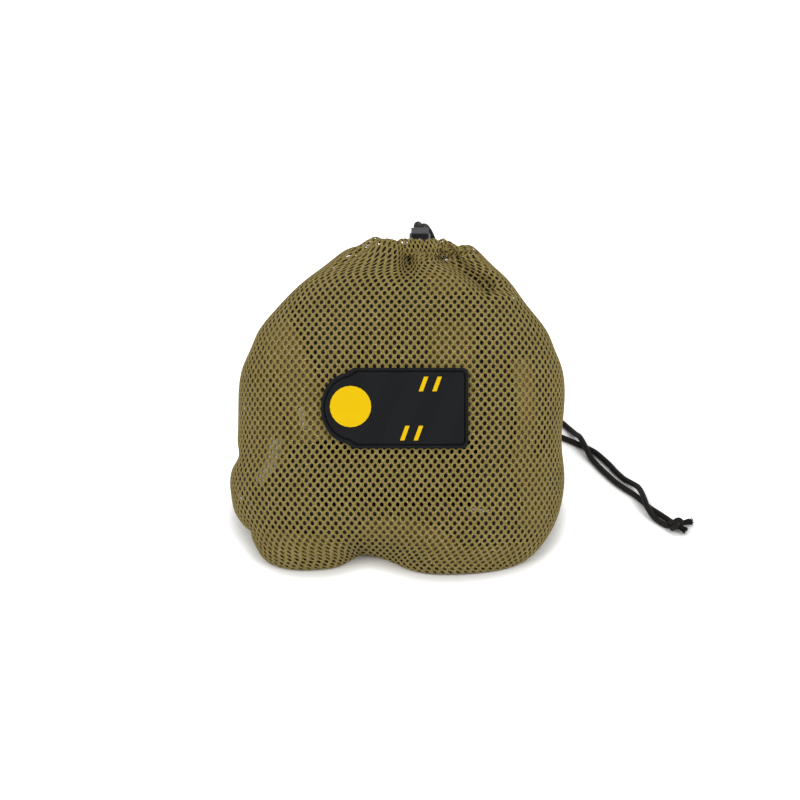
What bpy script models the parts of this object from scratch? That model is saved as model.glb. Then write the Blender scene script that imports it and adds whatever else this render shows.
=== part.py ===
"""A suspension trainer packed in its mesh drawstring bag.

Units are metres and +Z is up. The origin is the middle of the footprint, on the ground.
The bag stands on its base and leans back. What follows the bag is placed in its leaning
frame, whose X is to the right, Y goes back through the bag and Z runs up its axis.
"""
import math

import bmesh
import bpy
from mathutils import Euler, Matrix, Vector

# Bag
LEAN = math.radians(35.0)
BAG_AXIS_Y = -0.0344
BAG_FOOT_DROP = 0.0371
BAG_HEIGHT = 0.248
BAG_HALF_WIDTH = 0.126
BAG_FRONT_DEPTH = 0.076
BAG_BACK_DEPTH = 0.0585
BAG_CLOTH = 0.0012
BAG_FRONT_FLAT = 0.0760
BAG_FLAT_BLEND = 0.0015
BAG_FOOT_BLEND = 0.0040
BAG_FOOT_CUT = 0.0005
BAG_ROUNDNESS = 2.8
NECK_ROUNDNESS = 2.0
BAG_RINGS = 22
BAG_BASE_RINGS = 2
BAG_NECK_RINGS = 4

# Grid of openings in each side: how many, and their share of each step across and up
OPENINGS_ACROSS = 12
OPENINGS_UP = 10
OPENING_WIDTH_SHARE = 0.43
OPENING_HEIGHT_SHARE = 0.60
WIDEST_SHARE = 0.40
BAG_SPOKES = 2 * (2 * OPENINGS_ACROSS + 1)
LINE_STEPS = 240
# Height, half width, side shift, front and back depth of each section, from the base up
BAG_SECTION_SHARES = (
    (-0.056, 0.444, 0.000, 0.290, 0.580),
    (0.000, 0.667, 0.008, 0.700, 0.680),
    (0.052, 0.770, -0.010, 0.880, 0.750),
    (0.143, 0.913, 0.012, 1.000, 0.855),
    (0.266, 0.996, -0.001, 1.046, 0.975),
    (0.409, 0.975, 0.020, 1.060, 1.000),
    (0.595, 0.964, 0.027, 1.060, 0.820),
    (0.714, 0.889, 0.030, 1.020, 0.650),
    (0.817, 0.730, 0.035, 0.947, 0.480),
    (0.889, 0.603, 0.055, 0.868, 0.310),
    (0.940, 0.468, 0.075, 0.763, 0.137),
    (0.972, 0.333, 0.110, 0.658, 0.017),
    (0.976, 0.246, 0.135, 0.599, -0.050),
    (0.964, 0.226, 0.135, 0.579, -0.077),
)

# Folds pressed into the front: centre x, centre height, half length, half width, depth
ARCH_X = -0.017
ARCH_HALF_WIDTH = 0.022
ARCH_RISE = 0.026
ARCH_DEPTH = 0.022
VALLEY_FROM = (0.034, 0.240)
VALLEY_TO = (0.066, 0.216)
VALLEY_HALF_WIDTH = 0.007
VALLEY_DEPTH = 0.009
PLEAT_X = 0.009
PLEAT_HEIGHT = 0.232
PLEAT_HALF_WIDTH = 0.009
PLEAT_DEPTH = 0.007
RIM_START_SHARE = 0.96
RIM_FADE = 6.0

# Hem at the neck, folded over the drawcord
CORD_DIAMETER = 0.0044
HEM_CLOTH = 0.0008
HEM_HEIGHT = 0.0100
HEM_CHANNEL = 0.0062
HEM_GAP_HALF_ANGLE = math.radians(38.0)
CORD_GAP_HALF_ANGLE = math.radians(29.0)
HEM_STEPS = 44
HEM_RUFFLES = 9
HEM_RUFFLE_DEPTH = 0.0010
FIT = 0.0003

# Badge
BADGE_X = -0.0020
BADGE_HEIGHT_PLACE = 0.1250
BADGE_LENGTH = 0.1068
BADGE_WIDTH = 0.0583
BADGE_THICKNESS = 0.0026
BADGE_RIM = 0.0022
BADGE_RECESS = 0.0008
BADGE_CORNER = 0.0045
BADGE_SHOULDER = 0.0036
BADGE_SHOULDER_FOOT = 0.0023
BADGE_SHOULDER_TOP = 0.0034
BADGE_ROUND_END = 0.0204
DISC_DIAMETER = 0.0299
DISC_RISE = 0.0006
DISC_FROM_CENTRE = 0.0319
DISC_ABOVE_CENTRE = 0.0011
STRIPE_LENGTH = 0.0106
STRIPE_WIDTH = 0.0031
STRIPE_SLANT = math.radians(20.0)
STRIPE_RISE = 0.0005
STRIPE_PAIRS = ((0.0258, 0.0174), (0.0123, -0.0181))
STRIPE_PITCH = 0.0098

# Cord lock behind the neck
LOCK_WIDTH = 0.0160
LOCK_LENGTH = 0.0130
LOCK_OVER_CORD = 0.0055
LOCK_UNDER_CORD = 0.0110
LOCK_WALL = 0.0016
LOCK_EDGE = 0.0018
PLUNGER_EDGE = 0.0006
SPRING_CHAMFER = 0.0002
LOCK_BACK_OF_NECK = 0.0190
LOCK_BELOW_NECK = 0.0040
LOCK_TRAVEL = 0.0100
PLUNGER_TRAVEL = 0.0030
PLUNGER_CAP = 0.0018
STRAND_SPACING = 0.0050
CORD_STEP_SHARE = 0.8
EXIT_BEND_SHARE = 0.95
STRAIGHT_AFTER_LOCK = 0.0050

# Cord tails: the way that each strand takes from the lock to the knot
TAIL_FLOOR = 0.0023
TAIL_STEP = 0.0095
KNOT_WAY_SHARES = (0.70, -0.71)
KNOT_RADIUS_SHARE = 1.2
KNOT_LENGTH_SHARE = 2.4
KNOT_OUTLINE_SHARES = ((0.0, 0.5), (0.62, 0.5), (0.92, 0.333), (1.0, 0.125), (0.9, 0.0))
KNOT_END_SHARE = 1.6
KNOT_END_WIDTH_SHARE = 0.9
KNOT_END_TURNS = (0.29, 1.15)
TAIL_A_ROUTE = (
    (0.0149, 0.1240, 0.1695), (0.0165, 0.1315, 0.1655), (0.0190, 0.1370, 0.1590),
    (0.0225, 0.1400, 0.1500), (0.0275, 0.1400, 0.1370), (0.0340, 0.1380, 0.1190),
    (0.0400, 0.1350, 0.0980), (0.0460, 0.1320, 0.0760), (0.0525, 0.1295, 0.0540),
    (0.0600, 0.1278, 0.0340), (0.0695, 0.1265, 0.0185), (0.0800, 0.1250, 0.0085),
    (0.0920, 0.1220, 0.0036), (0.1040, 0.1175, TAIL_FLOOR), (0.1180, 0.1100, TAIL_FLOOR),
    (0.1285, 0.1000, TAIL_FLOOR), (0.1375, 0.0865, TAIL_FLOOR), (0.1425, 0.0750, 0.0046),
    (0.1448, 0.0680, 0.0074), (0.1464, 0.0620, 0.0082), (0.1490, 0.0545, 0.0066),
    (0.1522, 0.0465, 0.0034), (0.1556, 0.0400, TAIL_FLOOR),
    (0.1590, 0.0330, TAIL_FLOOR), (0.1640, 0.0240, TAIL_FLOOR), (0.1700, 0.0140, TAIL_FLOOR),
    (0.1765, 0.0055, TAIL_FLOOR), (0.1825, -0.0015, TAIL_FLOOR), (0.1876, -0.0090, TAIL_FLOOR),
    (0.1930, -0.0180, TAIL_FLOOR), (0.1995, -0.0255, TAIL_FLOOR), (0.2071, -0.0347, TAIL_FLOOR),
)
TAIL_B_ROUTE = (
    (0.0201, 0.1225, 0.1692), (0.0225, 0.1280, 0.1650), (0.0255, 0.1312, 0.1580),
    (0.0290, 0.1318, 0.1480), (0.0335, 0.1300, 0.1340), (0.0385, 0.1265, 0.1160),
    (0.0435, 0.1228, 0.0950), (0.0490, 0.1195, 0.0730), (0.0550, 0.1170, 0.0510),
    (0.0620, 0.1145, 0.0310), (0.0710, 0.1115, 0.0160), (0.0820, 0.1065, 0.0070),
    (0.0960, 0.0985, 0.0030), (0.1100, 0.0885, TAIL_FLOOR), (0.1240, 0.0790, TAIL_FLOOR),
    (0.1360, 0.0705, TAIL_FLOOR), (0.1470, 0.0620, TAIL_FLOOR), (0.1562, 0.0540, TAIL_FLOOR),
    (0.1622, 0.0449, TAIL_FLOOR), (0.1672, 0.0360, TAIL_FLOOR), (0.1712, 0.0275, TAIL_FLOOR),
    (0.1762, 0.0190, TAIL_FLOOR), (0.1820, 0.0105, 0.0040), (0.1856, 0.0020, 0.0070),
    (0.1876, -0.0060, 0.0080), (0.1891, -0.0150, 0.0080), (0.1914, -0.0240, 0.0056),
    (0.1960, -0.0317, 0.0026), (0.2026, -0.0391, TAIL_FLOOR),
)

# Straps
WEBBING = 0.0020
STRAP_WIDTH = 0.0360
HANK_WIDTH = 0.0380
HANK_LENGTH = 0.0960
HANK_DEPTH = 0.0600
HANK_LOOPS = 6
HANK_PITCH = 0.0028
HANK_STRAIGHT_SHARE = 2.4
HANK_X = 0.0520
HANK_Y = -0.0040
HANK_LOOP_POINTS = 24
STRAP_LOOP_X = 0.0310
STRAP_LOOP_W = -0.0231
STRAP_LOOP_FOOT = 0.0342
STRAP_LOOP_TOP = 0.1540
STRAP_LOOP_HALF_GAP = 0.0022

# Cam buckles
BUCKLE_PLACE = 0.1020
BUCKLE_LENGTH = 0.0300
BUCKLE_PLATE = 0.0016
BUCKLE_CHEEK = 0.0018
BUCKLE_HEIGHT = 0.0165
CAM_PIN_DIAMETER = 0.0036
CAM_PIN_OUT = 0.0125
CAM_HUB_DIAMETER = 0.0100
CAM_TAIL = 0.0240
CAM_TAIL_THICKNESS = 0.0028
CAM_WIDTH = 0.0270
CAM_SPRING_WIDTH = 0.0024
CAM_NOSE = 0.0088
CAM_ROOT_SHARE = 1.3
CAM_SPRING_SHARE = 0.75
CAM_NOSE_SHARE = 0.333

# Handles
GRIP_LENGTH = 0.1240
GRIP_DIAMETER = 0.0330
TUBE_DIAMETER = 0.0250
TUBE_WALL = 0.0019
CAP_DIAMETER = 0.0360
CAP_WIDTH = 0.0050
HANDLE_WEB_WIDTH = 0.0180
HANDLE_WEB_CLEARANCE = 0.0127
HANDLE_WEB_HEIGHT = 0.1050
HANDLE_WEB_CORNER = 0.0100
HANDLE_WEB_TOP = 0.0070
FRONT_HANDLE = (-0.0540, 0.0395)
REAR_HANDLE = (0.0237, 0.0475)
CRADLE_WIDTH = 0.0200
CRADLE_THICKNESS = 0.0026
CRADLE_DROP = 0.0200
CRADLE_BEND = 0.0140

# Anchor
CARABINER_ROD = 0.0090
CARABINER_WIDTH = 0.0600
CARABINER_LENGTH = 0.0880
CARABINER_BEND_SHARE = 0.38
CARABINER_W = -0.0124
CARABINER_PLACE_SHARE = 0.5726
CARABINER_PLACE = BAG_HEIGHT * CARABINER_PLACE_SHARE
GATE_DIAMETER = 0.0080
GATE_SWING = math.radians(20.0)
GATE_PIN_DIAMETER = 0.0026
GATE_TONGUE = 0.0022
GATE_SPRING_WIDTH = 0.0016
GATE_SPRING_DIAMETER = 0.0052
GATE_SHOULDER_SHARE = 0.75
GATE_PIN_SHARE = 0.1
TONGUE_WIDTH_SHARE = 0.76
TONGUE_FOOT_SHARE = 0.34
ANCHOR_WIDTH = 0.0280
ANCHOR_FOOT = 0.0560

ROUND_STEPS = 24
OVERRUN = 0.0040
WELD = 0.00001
FINE_WELD = 0.000001
SHARP_ANGLE = math.radians(35.0)


def remove_everything():
    """Clear the scene's objects, so the script can run again in an open file."""
    for old in list(bpy.data.objects):
        bpy.data.objects.remove(old, do_unlink=True)


def make_collection(name):
    group = bpy.data.collections.new(name)
    bpy.context.scene.collection.children.link(group)
    return group


def make_material(name, colour, roughness, metallic=0.0):
    material = bpy.data.materials.new(name)
    material.use_nodes = True
    shader = material.node_tree.nodes["Principled BSDF"]
    shader.inputs["Base Color"].default_value = (*colour, 1.0)
    shader.inputs["Roughness"].default_value = roughness
    shader.inputs["Metallic"].default_value = metallic
    material.diffuse_color = (*colour, 1.0)
    return material


remove_everything()
PARTS = make_collection("suspension_trainer_in_bag")
CUTTERS = make_collection("cutters")

MESH_FABRIC = make_material("olive_mesh", (0.25, 0.18, 0.06), 0.8)
OLIVE_WEBBING = make_material("olive_webbing", (0.22, 0.16, 0.06), 0.75)
BLACK_WEBBING = make_material("black_webbing", (0.02, 0.02, 0.02), 0.75)
BLACK_CORD = make_material("black_cord", (0.01, 0.01, 0.01), 0.7)
BLACK_RUBBER = make_material("black_rubber", (0.03, 0.03, 0.035), 0.55)
YELLOW_RUBBER = make_material("yellow_rubber", (0.9, 0.6, 0.0), 0.5)
BLACK_FOAM = make_material("black_foam", (0.02, 0.02, 0.02), 0.9)
BLACK_PLASTIC = make_material("black_plastic", (0.03, 0.03, 0.03), 0.4)
STEEL = make_material("steel", (0.5, 0.5, 0.52), 0.3, 1.0)
ALUMINIUM = make_material("black_aluminium", (0.05, 0.05, 0.055), 0.35, 1.0)


def empty(name, location, rotation=(0.0, 0.0, 0.0), parent=None):
    holder = bpy.data.objects.new(name, None)
    holder.location = location
    holder.rotation_euler = rotation
    holder.parent = parent
    PARTS.objects.link(holder)
    return holder


LEANING = empty("leaning_frame", (0.0, BAG_AXIS_Y, 0.0), (-LEAN, 0.0, 0.0))


def to_world(point):
    """A point of the leaning frame, in the part's own frame."""
    turned = Euler((-LEAN, 0.0, 0.0)).to_matrix() @ Vector(point)
    return turned + Vector((0.0, BAG_AXIS_Y, 0.0))


def add_object(name, data, material, location=(0, 0, 0), rotation=(0, 0, 0), parent=None):
    piece = bpy.data.objects.new(name, data)
    piece.location = location
    piece.rotation_euler = rotation
    piece.parent = parent
    if material is None:
        CUTTERS.objects.link(piece)
        piece.hide_render = True
        piece.display_type = "WIRE"
    else:
        PARTS.objects.link(piece)
        piece.data.materials.append(material)
    return piece


def mesh_from(bm, name, turn_out=True):
    if turn_out:
        bmesh.ops.recalc_face_normals(bm, faces=bm.faces)
    mesh = bpy.data.meshes.new(name)
    bm.to_mesh(mesh)
    bm.free()
    mesh.shade_smooth()
    mesh.set_sharp_from_angle(angle=SHARP_ANGLE)
    return mesh


def box(name, size, material, location=(0, 0, 0), rotation=(0, 0, 0), parent=None, edge=0.0):
    """A block, its edges rounded if edge is given."""
    bm = bmesh.new()
    bmesh.ops.create_cube(bm, size=1.0, matrix=Matrix.Diagonal((*size, 1.0)))
    piece = add_object(name, mesh_from(bm, name), material, location, rotation, parent)
    if edge:
        rounding = piece.modifiers.new("edges", "BEVEL")
        rounding.width = edge
        rounding.segments = 2
    return piece


def rod(name, diameter, length, material, location=(0, 0, 0), rotation=(0, 0, 0), parent=None):
    """A round bar along its own Z."""
    bm = bmesh.new()
    bmesh.ops.create_cone(bm, cap_ends=True, segments=ROUND_STEPS, radius1=diameter / 2,
                          radius2=diameter / 2, depth=length)
    return add_object(name, mesh_from(bm, name), material, location, rotation, parent)


def turned(name, profile, material, location=(0, 0, 0), rotation=(0, 0, 0), parent=None):
    """A closed outline of (radius, height) points, turned round Z with a Screw."""
    mesh = bpy.data.meshes.new(name)
    points = [(radius, 0.0, height) for radius, height in profile]
    edges = [(i, (i + 1) % len(points)) for i in range(len(points))]
    mesh.from_pydata(points, edges, [])
    piece = add_object(name, mesh, material, location, rotation, parent)
    screw = piece.modifiers.new("turn", "SCREW")
    screw.steps = ROUND_STEPS
    screw.render_steps = ROUND_STEPS
    screw.use_merge_vertices = True
    screw.merge_threshold = WELD
    return piece


def ring_profile(outer, inner, length, edge):
    """Half section of a ring with its outer corners taken off, down the outer side."""
    half = length / 2
    return ((outer - edge, half), (outer, half - edge), (outer, edge - half),
            (outer - edge, -half), (inner, -half), (inner, half))


def smooth_route(points, step):
    """Points at even steps along a smooth curve through the route's own points."""
    route = [Vector(p) for p in points]
    ends = [route[0] * 2 - route[1]] + route + [route[-1] * 2 - route[-2]]
    fine = []
    for before, start, stop, after in zip(ends, ends[1:], ends[2:], ends[3:]):
        for part in range(16):
            t = part / 16
            fine.append(0.5 * ((2 * start) + (stop - before) * t
                               + (2 * before - 5 * start + 4 * stop - after) * t * t
                               + (3 * start - before - 3 * stop + after) * t * t * t))
    fine.append(route[-1])
    return even_points(fine, step)


def even_points(fine, step):
    lengths = [0.0]
    for a, b in zip(fine, fine[1:]):
        lengths.append(lengths[-1] + (b - a).length)
    count = max(2, round(lengths[-1] / step))
    result = []
    place = 0
    for number in range(count + 1):
        target = lengths[-1] * number / count
        while place < len(lengths) - 2 and lengths[place + 1] < target:
            place += 1
        span = lengths[place + 1] - lengths[place]
        share = (target - lengths[place]) / span if span else 0.0
        result.append(fine[place].lerp(fine[place + 1], share))
    return result


def tube(name, points, diameter, material, parent=None, sides=2, cyclic=False):
    """A round cord or rod along a route, with filled ends."""
    curve = bpy.data.curves.new(name, "CURVE")
    curve.dimensions = "3D"
    curve.bevel_depth = diameter / 2
    curve.bevel_resolution = sides
    curve.use_fill_caps = not cyclic
    spline = curve.splines.new("POLY")
    spline.points.add(len(points) - 1)
    for slot, point in zip(spline.points, points):
        slot.co = (*point, 1.0)
    spline.use_cyclic_u = cyclic
    return add_object(name, curve, material, parent=parent)


def flat_outline(name, outlines, thickness, material, location=(0, 0, 0),
                 rotation=(0, 0, 0), parent=None):
    """A plate whose outline, with any holes, lies in its own XY plane."""
    curve = bpy.data.curves.new(name, "CURVE")
    curve.dimensions = "2D"
    curve.fill_mode = "BOTH"
    curve.extrude = thickness / 2
    for outline in outlines:
        spline = curve.splines.new("POLY")
        spline.points.add(len(outline) - 1)
        for slot, (x, y) in zip(spline.points, outline):
            slot.co = (x, y, 0.0, 1.0)
        spline.use_cyclic_u = True
    return add_object(name, curve, material, location, rotation, parent)


def webbing(name, path, width, thickness, material, location=(0, 0, 0),
            rotation=(0, 0, 0), parent=None, cyclic=True):
    """A strap that follows a path in its own XY plane, its width along its own Z."""
    bm = bmesh.new()
    low = [bm.verts.new((x, y, -width / 2)) for x, y in path]
    high = [bm.verts.new((x, y, width / 2)) for x, y in path]
    last = len(path) if cyclic else len(path) - 1
    for i in range(last):
        j = (i + 1) % len(path)
        bm.faces.new((low[i], low[j], high[j], high[i]))
    piece = add_object(name, mesh_from(bm, name), material, location, rotation, parent)
    thicken = piece.modifiers.new("thickness", "SOLIDIFY")
    thicken.thickness = thickness
    thicken.offset = 0.0
    thicken.use_even_offset = True
    return piece


def as_mesh(piece):
    """Turn a curve object into a mesh object of the same name and place."""
    graph = bpy.context.evaluated_depsgraph_get()
    graph.update()
    mesh = bpy.data.meshes.new_from_object(piece.evaluated_get(graph))
    bm = bmesh.new()
    bm.from_mesh(mesh)
    bmesh.ops.remove_doubles(bm, verts=bm.verts, dist=FINE_WELD)
    bmesh.ops.recalc_face_normals(bm, faces=bm.faces)
    bm.to_mesh(mesh)
    bm.free()
    name = piece.name
    place = piece.matrix_world.copy()
    material = piece.data.materials[0] if piece.data.materials else None
    bpy.data.objects.remove(piece, do_unlink=True)
    solid = add_object(name, mesh, material)
    solid.data.materials.clear()
    if material is not None:
        solid.data.materials.append(material)
    solid.matrix_world = place
    return solid


def combine(piece, other, operation):
    change = piece.modifiers.new(operation.lower(), "BOOLEAN")
    change.operation = operation
    change.object = other
    change.solver = "EXACT"


def arc(centre_x, centre_y, radius, start, stop, count):
    """Points along an arc, in degrees."""
    points = []
    for number in range(count + 1):
        angle = math.radians(start + (stop - start) * number / count)
        points.append((centre_x + radius * math.cos(angle), centre_y + radius * math.sin(angle)))
    return points


def racetrack(half_length, radius, count=6):
    """A closed path of two straight runs along Y, joined by half circles."""
    return (arc(0.0, half_length, radius, 0, 180, count)
            + arc(0.0, -half_length, radius, 180, 360, count))


def section_at(place):
    """The bag's section at a place from 0, its base, to 1, the neck's rim."""
    rows = BAG_SECTION_SHARES
    along = place * (len(rows) - 1)
    index = min(int(along), len(rows) - 2)
    t = along - index
    before = rows[max(index - 1, 0)]
    start = rows[index]
    stop = rows[index + 1]
    after = rows[min(index + 2, len(rows) - 1)]
    mixed = []
    for a, b, c, d in zip(before, start, stop, after):
        mixed.append(0.5 * (2 * b + (c - a) * t + (2 * a - 5 * b + 4 * c - d) * t * t
                            + (3 * b - a - 3 * c + d) * t * t * t))
    height, half, shift, front, back = mixed
    return (height * BAG_HEIGHT, half * BAG_HALF_WIDTH, shift * BAG_HALF_WIDTH,
            front * BAG_FRONT_DEPTH, back * BAG_BACK_DEPTH)


def rounded(value, roundness):
    return math.copysign(abs(value) ** (2.0 / roundness), value)


def near(distance, reach):
    """A bump of height 1 that fades out over the reach."""
    return math.exp(-(distance / reach) ** 2)


def front_fold(x, height):
    """How far the folds press the front of the bag in."""
    lift = max(height, 0.0)
    base = BAG_SECTION_SHARES[0][0] * BAG_HEIGHT
    fade = min(max(1 - height / base, 0.0), 1.0)
    pressed = ARCH_DEPTH * near(x - ARCH_X, ARCH_HALF_WIDTH) * near(lift, ARCH_RISE) * fade
    run = Vector(VALLEY_TO) - Vector(VALLEY_FROM)
    reach = Vector((x, height)) - Vector(VALLEY_FROM)
    share = min(max(reach.dot(run) / run.length_squared, 0.0), 1.0)
    pressed += VALLEY_DEPTH * near((reach - run * share).length, VALLEY_HALF_WIDTH)
    pleat = Vector((x - PLEAT_X, height - PLEAT_HEIGHT))
    pressed += PLEAT_DEPTH * near(pleat.length, PLEAT_HALF_WIDTH)
    return pressed


def bag_point(place, angle):
    """A point of the bag's outside in its leaning frame: place up it, angle round it."""
    height, half, shift, front, back = section_at(place)
    roundness = BAG_ROUNDNESS + (NECK_ROUNDNESS - BAG_ROUNDNESS) * max(place * 3 - 2, 0.0)
    middle = (back - front) / 2
    x = shift + half * rounded(math.cos(angle), roundness)
    w = middle + (back + front) / 2 * rounded(math.sin(angle), roundness)
    facing = max(-math.sin(angle), 0.0)
    fade = min(max(RIM_START_SHARE - place, 0.0) * RIM_FADE, 1.0)
    w += front_fold(x, height) * min(facing * 2, 1.0) * fade
    over = -w - BAG_FRONT_FLAT
    if angle > math.pi:
        w = -BAG_FRONT_FLAT - (over - math.hypot(over, BAG_FLAT_BLEND)) / 2
    return Vector((x, w, height - BAG_FOOT_DROP))


def stand_on_ground(point):
    """Flatten what would be below the ground, and cut it flat."""
    place = to_world(point)
    place.z = (place.z + math.hypot(place.z, BAG_FOOT_BLEND)) / 2 - BAG_FOOT_CUT
    place.z = max(place.z, 0.0)
    return place


def grid_shares(count, opening_share):
    """The shares at which bars and openings end, in turns, with a bar at either end."""
    widths = [opening_share if n % 2 else 1 - opening_share for n in range(2 * count + 1)]
    return [sum(widths[:n]) / sum(widths) for n in range(len(widths) + 1)]


def spread(line, start, stop, shares):
    """Values from start to stop at which the given shares of a line's length are reached."""
    points = [line(start + (stop - start) * n / LINE_STEPS) for n in range(LINE_STEPS + 1)]
    along = [0.0]
    for a, b in zip(points, points[1:]):
        along.append(along[-1] + (b - a).length)
    values = []
    for share in shares:
        n = max(i for i, length in enumerate(along[:-1]) if length <= share * along[-1])
        part = (share * along[-1] - along[n]) / (along[n + 1] - along[n])
        values.append(start + (stop - start) * (n + min(part, 1.0)) / LINE_STEPS)
    return values


def ring_places():
    """Places of the bag's rings: its base, the grid at even steps, and its neck."""
    seam_place = BAG_BASE_RINGS / BAG_RINGS
    neck_place = 1 - BAG_NECK_RINGS / BAG_RINGS
    front = 3 * math.pi / 2
    grid = spread(lambda place: bag_point(place, front), seam_place, neck_place,
                  grid_shares(OPENINGS_UP, OPENING_HEIGHT_SHARE))
    low = [row / BAG_RINGS for row in range(BAG_BASE_RINGS)]
    return low + grid + [neck_place + (row + 1) / BAG_RINGS for row in range(BAG_NECK_RINGS)]


def spoke_angles():
    """Angles of the bag's spokes: even at its widest, and evenly turned at its neck."""
    shares = grid_shares(OPENINGS_ACROSS, OPENING_WIDTH_SHARE)[:-1]
    pairs = []
    for start in (0.0, math.pi):
        wide = spread(lambda angle: bag_point(WIDEST_SHARE, angle), start, start + math.pi,
                      shares)
        pairs += [(angle, start + math.pi * share) for angle, share in zip(wide, shares)]
    return pairs


def bag_skins():
    """The bag's outside and inside, each as rings of points up to the neck, with its hub."""
    bm = bmesh.new()
    rings = []
    angles = spoke_angles()
    for place in ring_places():
        turned_share = max(1 - (1 - place) * BAG_RINGS / BAG_NECK_RINGS, 0.0)
        ring = []
        for wide, even in angles:
            angle = wide + (even - wide) * turned_share
            ring.append(bm.verts.new(stand_on_ground(bag_point(place, angle))))
        rings.append(ring)
    for low, high in zip(rings, rings[1:]):
        join_lines(bm, low, high, True)
    hub = bm.verts.new(sum((v.co for v in rings[0]), Vector()) / BAG_SPOKES)
    for i in range(BAG_SPOKES):
        bm.faces.new((hub, rings[0][(i + 1) % BAG_SPOKES], rings[0][i]))
    bm.normal_update()
    outside = [[v.co.copy() for v in ring] for ring in rings], hub.co.copy()
    inside = [[v.co - v.normal * BAG_CLOTH for v in ring] for ring in rings]
    inside = inside, hub.co - hub.normal * BAG_CLOTH
    bm.free()
    return outside, inside


def join_lines(bm, low, high, closed):
    """Join two lines of corners with faces, all the way round if they are closed."""
    for i in range(len(low) if closed else len(low) - 1):
        j = (i + 1) % len(low)
        bm.faces.new((low[i], low[j], high[j], high[i]))


def drawn_in(line, first, last):
    """A line of points whose first or last end is drawn in by half a seam's gap."""
    points = [point.copy() for point in line]
    if first:
        points[0] += (line[1] - line[0]).normalized() * FIT / 2
    if last:
        points[-1] += (line[-2] - line[-1]).normalized() * FIT / 2
    return points


def cut_openings(bm, outer, inner):
    """Open every second face of every second row of a side, and wall each opening."""
    for row in range(1, 2 * OPENINGS_UP, 2):
        for column in range(1, 2 * OPENINGS_ACROSS, 2):
            rims = []
            for skin in (outer, inner):
                low, high = skin[row], skin[row + 1]
                rim = [low[column], low[column + 1], high[column + 1], high[column]]
                bm.faces.remove(bm.faces.get(rim))
                rims.append(rim)
            join_lines(bm, *rims, True)


def finish_panel(bm, name, outer, inner, closed):
    """Join a panel's outside and inside, each of its rows of corners, round its edges."""
    for skin in (outer, inner):
        for low, high in zip(skin, skin[1:]):
            join_lines(bm, low, high, closed)
    join_lines(bm, outer[-1], inner[-1], closed)
    if not closed:
        cut_openings(bm, outer, inner)
        join_lines(bm, outer[0], inner[0], False)
        for side in (0, -1):
            join_lines(bm, [row[side] for row in outer], [row[side] for row in inner], False)
    add_object(name, mesh_from(bm, name), MESH_FABRIC)


def bag_base(skins):
    """The base panel, from the middle of the ground face out to its seam."""
    bm = bmesh.new()
    built = []
    for rings, hub in skins:
        lines = [drawn_in([ring[n] for ring in rings[:BAG_BASE_RINGS + 1]], False, True)
                 for n in range(BAG_SPOKES)]
        skin = [[bm.verts.new(point) for point in row] for row in zip(*lines)]
        middle = bm.verts.new(hub)
        for i in range(BAG_SPOKES):
            bm.faces.new((middle, skin[0][(i + 1) % BAG_SPOKES], skin[0][i]))
        built.append(skin)
    finish_panel(bm, "bag_base", *built, True)


def bag_side(name, first, last, skins):
    """The front or back panel, from the base seam up to the neck and from seam to seam."""
    bm = bmesh.new()
    built = []
    for rings, hub in skins:
        rows = [drawn_in([ring[n % BAG_SPOKES] for n in range(first, last + 1)], True, True)
                for ring in rings[BAG_BASE_RINGS:]]
        lines = [drawn_in(line, True, False) for line in zip(*rows)]
        built.append([[bm.verts.new(point) for point in row] for row in zip(*lines)])
    finish_panel(bm, name, *built, False)


def mesh_bag():
    """The mesh bag: a base, and a front and a back, each with a grid of openings."""
    skins = bag_skins()
    half = BAG_SPOKES // 2
    bag_base(skins)
    bag_side("bag_back", 0, half, skins)
    bag_side("bag_front", half, BAG_SPOKES, skins)


def neck_point(angle, inward, up):
    """A point of the hem: inward from its outer face and up from the bag's rim."""
    height, half, shift, front, back = section_at(1.0)
    middle = (back - front) / 2
    depth = (back + front) / 2
    ruffle = HEM_RUFFLE_DEPTH * (math.cos(HEM_RUFFLES * angle) - 1) / 2
    outer = Vector((half * math.cos(angle), depth * math.sin(angle)))
    outer -= outer.normalized() * (inward + FIT - ruffle)
    return Vector((shift + outer.x, middle + outer.y, height - BAG_FOOT_DROP + FIT + up))


def neck_angles(gap, steps):
    first = math.pi / 2 + gap
    last = math.pi * 5 / 2 - gap
    return [first + (last - first) * n / steps for n in range(steps + 1)]


def neck_hem():
    """The folded hem, open below and at the back, where the cord comes out."""
    width = HEM_CHANNEL + HEM_CLOTH
    corner = width / 4
    profile = ((0.0, 0.0), (0.0, HEM_HEIGHT - corner), (corner, HEM_HEIGHT),
               (width - corner, HEM_HEIGHT), (width, HEM_HEIGHT - corner), (width, corner))
    bm = bmesh.new()
    rows = []
    for angle in neck_angles(HEM_GAP_HALF_ANGLE, HEM_STEPS):
        rows.append([bm.verts.new(neck_point(angle, q + HEM_CLOTH / 2, h)) for q, h in profile])
    for one, two in zip(rows, rows[1:]):
        for i in range(len(profile) - 1):
            bm.faces.new((one[i], two[i], two[i + 1], one[i + 1]))
    piece = add_object("neck_hem", mesh_from(bm, "neck_hem"), MESH_FABRIC, parent=LEANING)
    thicken = piece.modifiers.new("cloth", "SOLIDIFY")
    thicken.thickness = HEM_CLOTH
    thicken.offset = 0.0
    return piece


def cord_level():
    return (HEM_HEIGHT - HEM_CLOTH) / 2


def drawcord_place(angle):
    return to_world(neck_point(angle, HEM_CLOTH + HEM_CHANNEL / 2, cord_level()))


def neck_back():
    """The middle of the gap at the back of the hem, on the cord's own line."""
    return drawcord_place(math.pi / 2)


def lock_centre():
    back = neck_back()
    return Vector((back.x, back.y + LOCK_BACK_OF_NECK, back.z - LOCK_BELOW_NECK))


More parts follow.
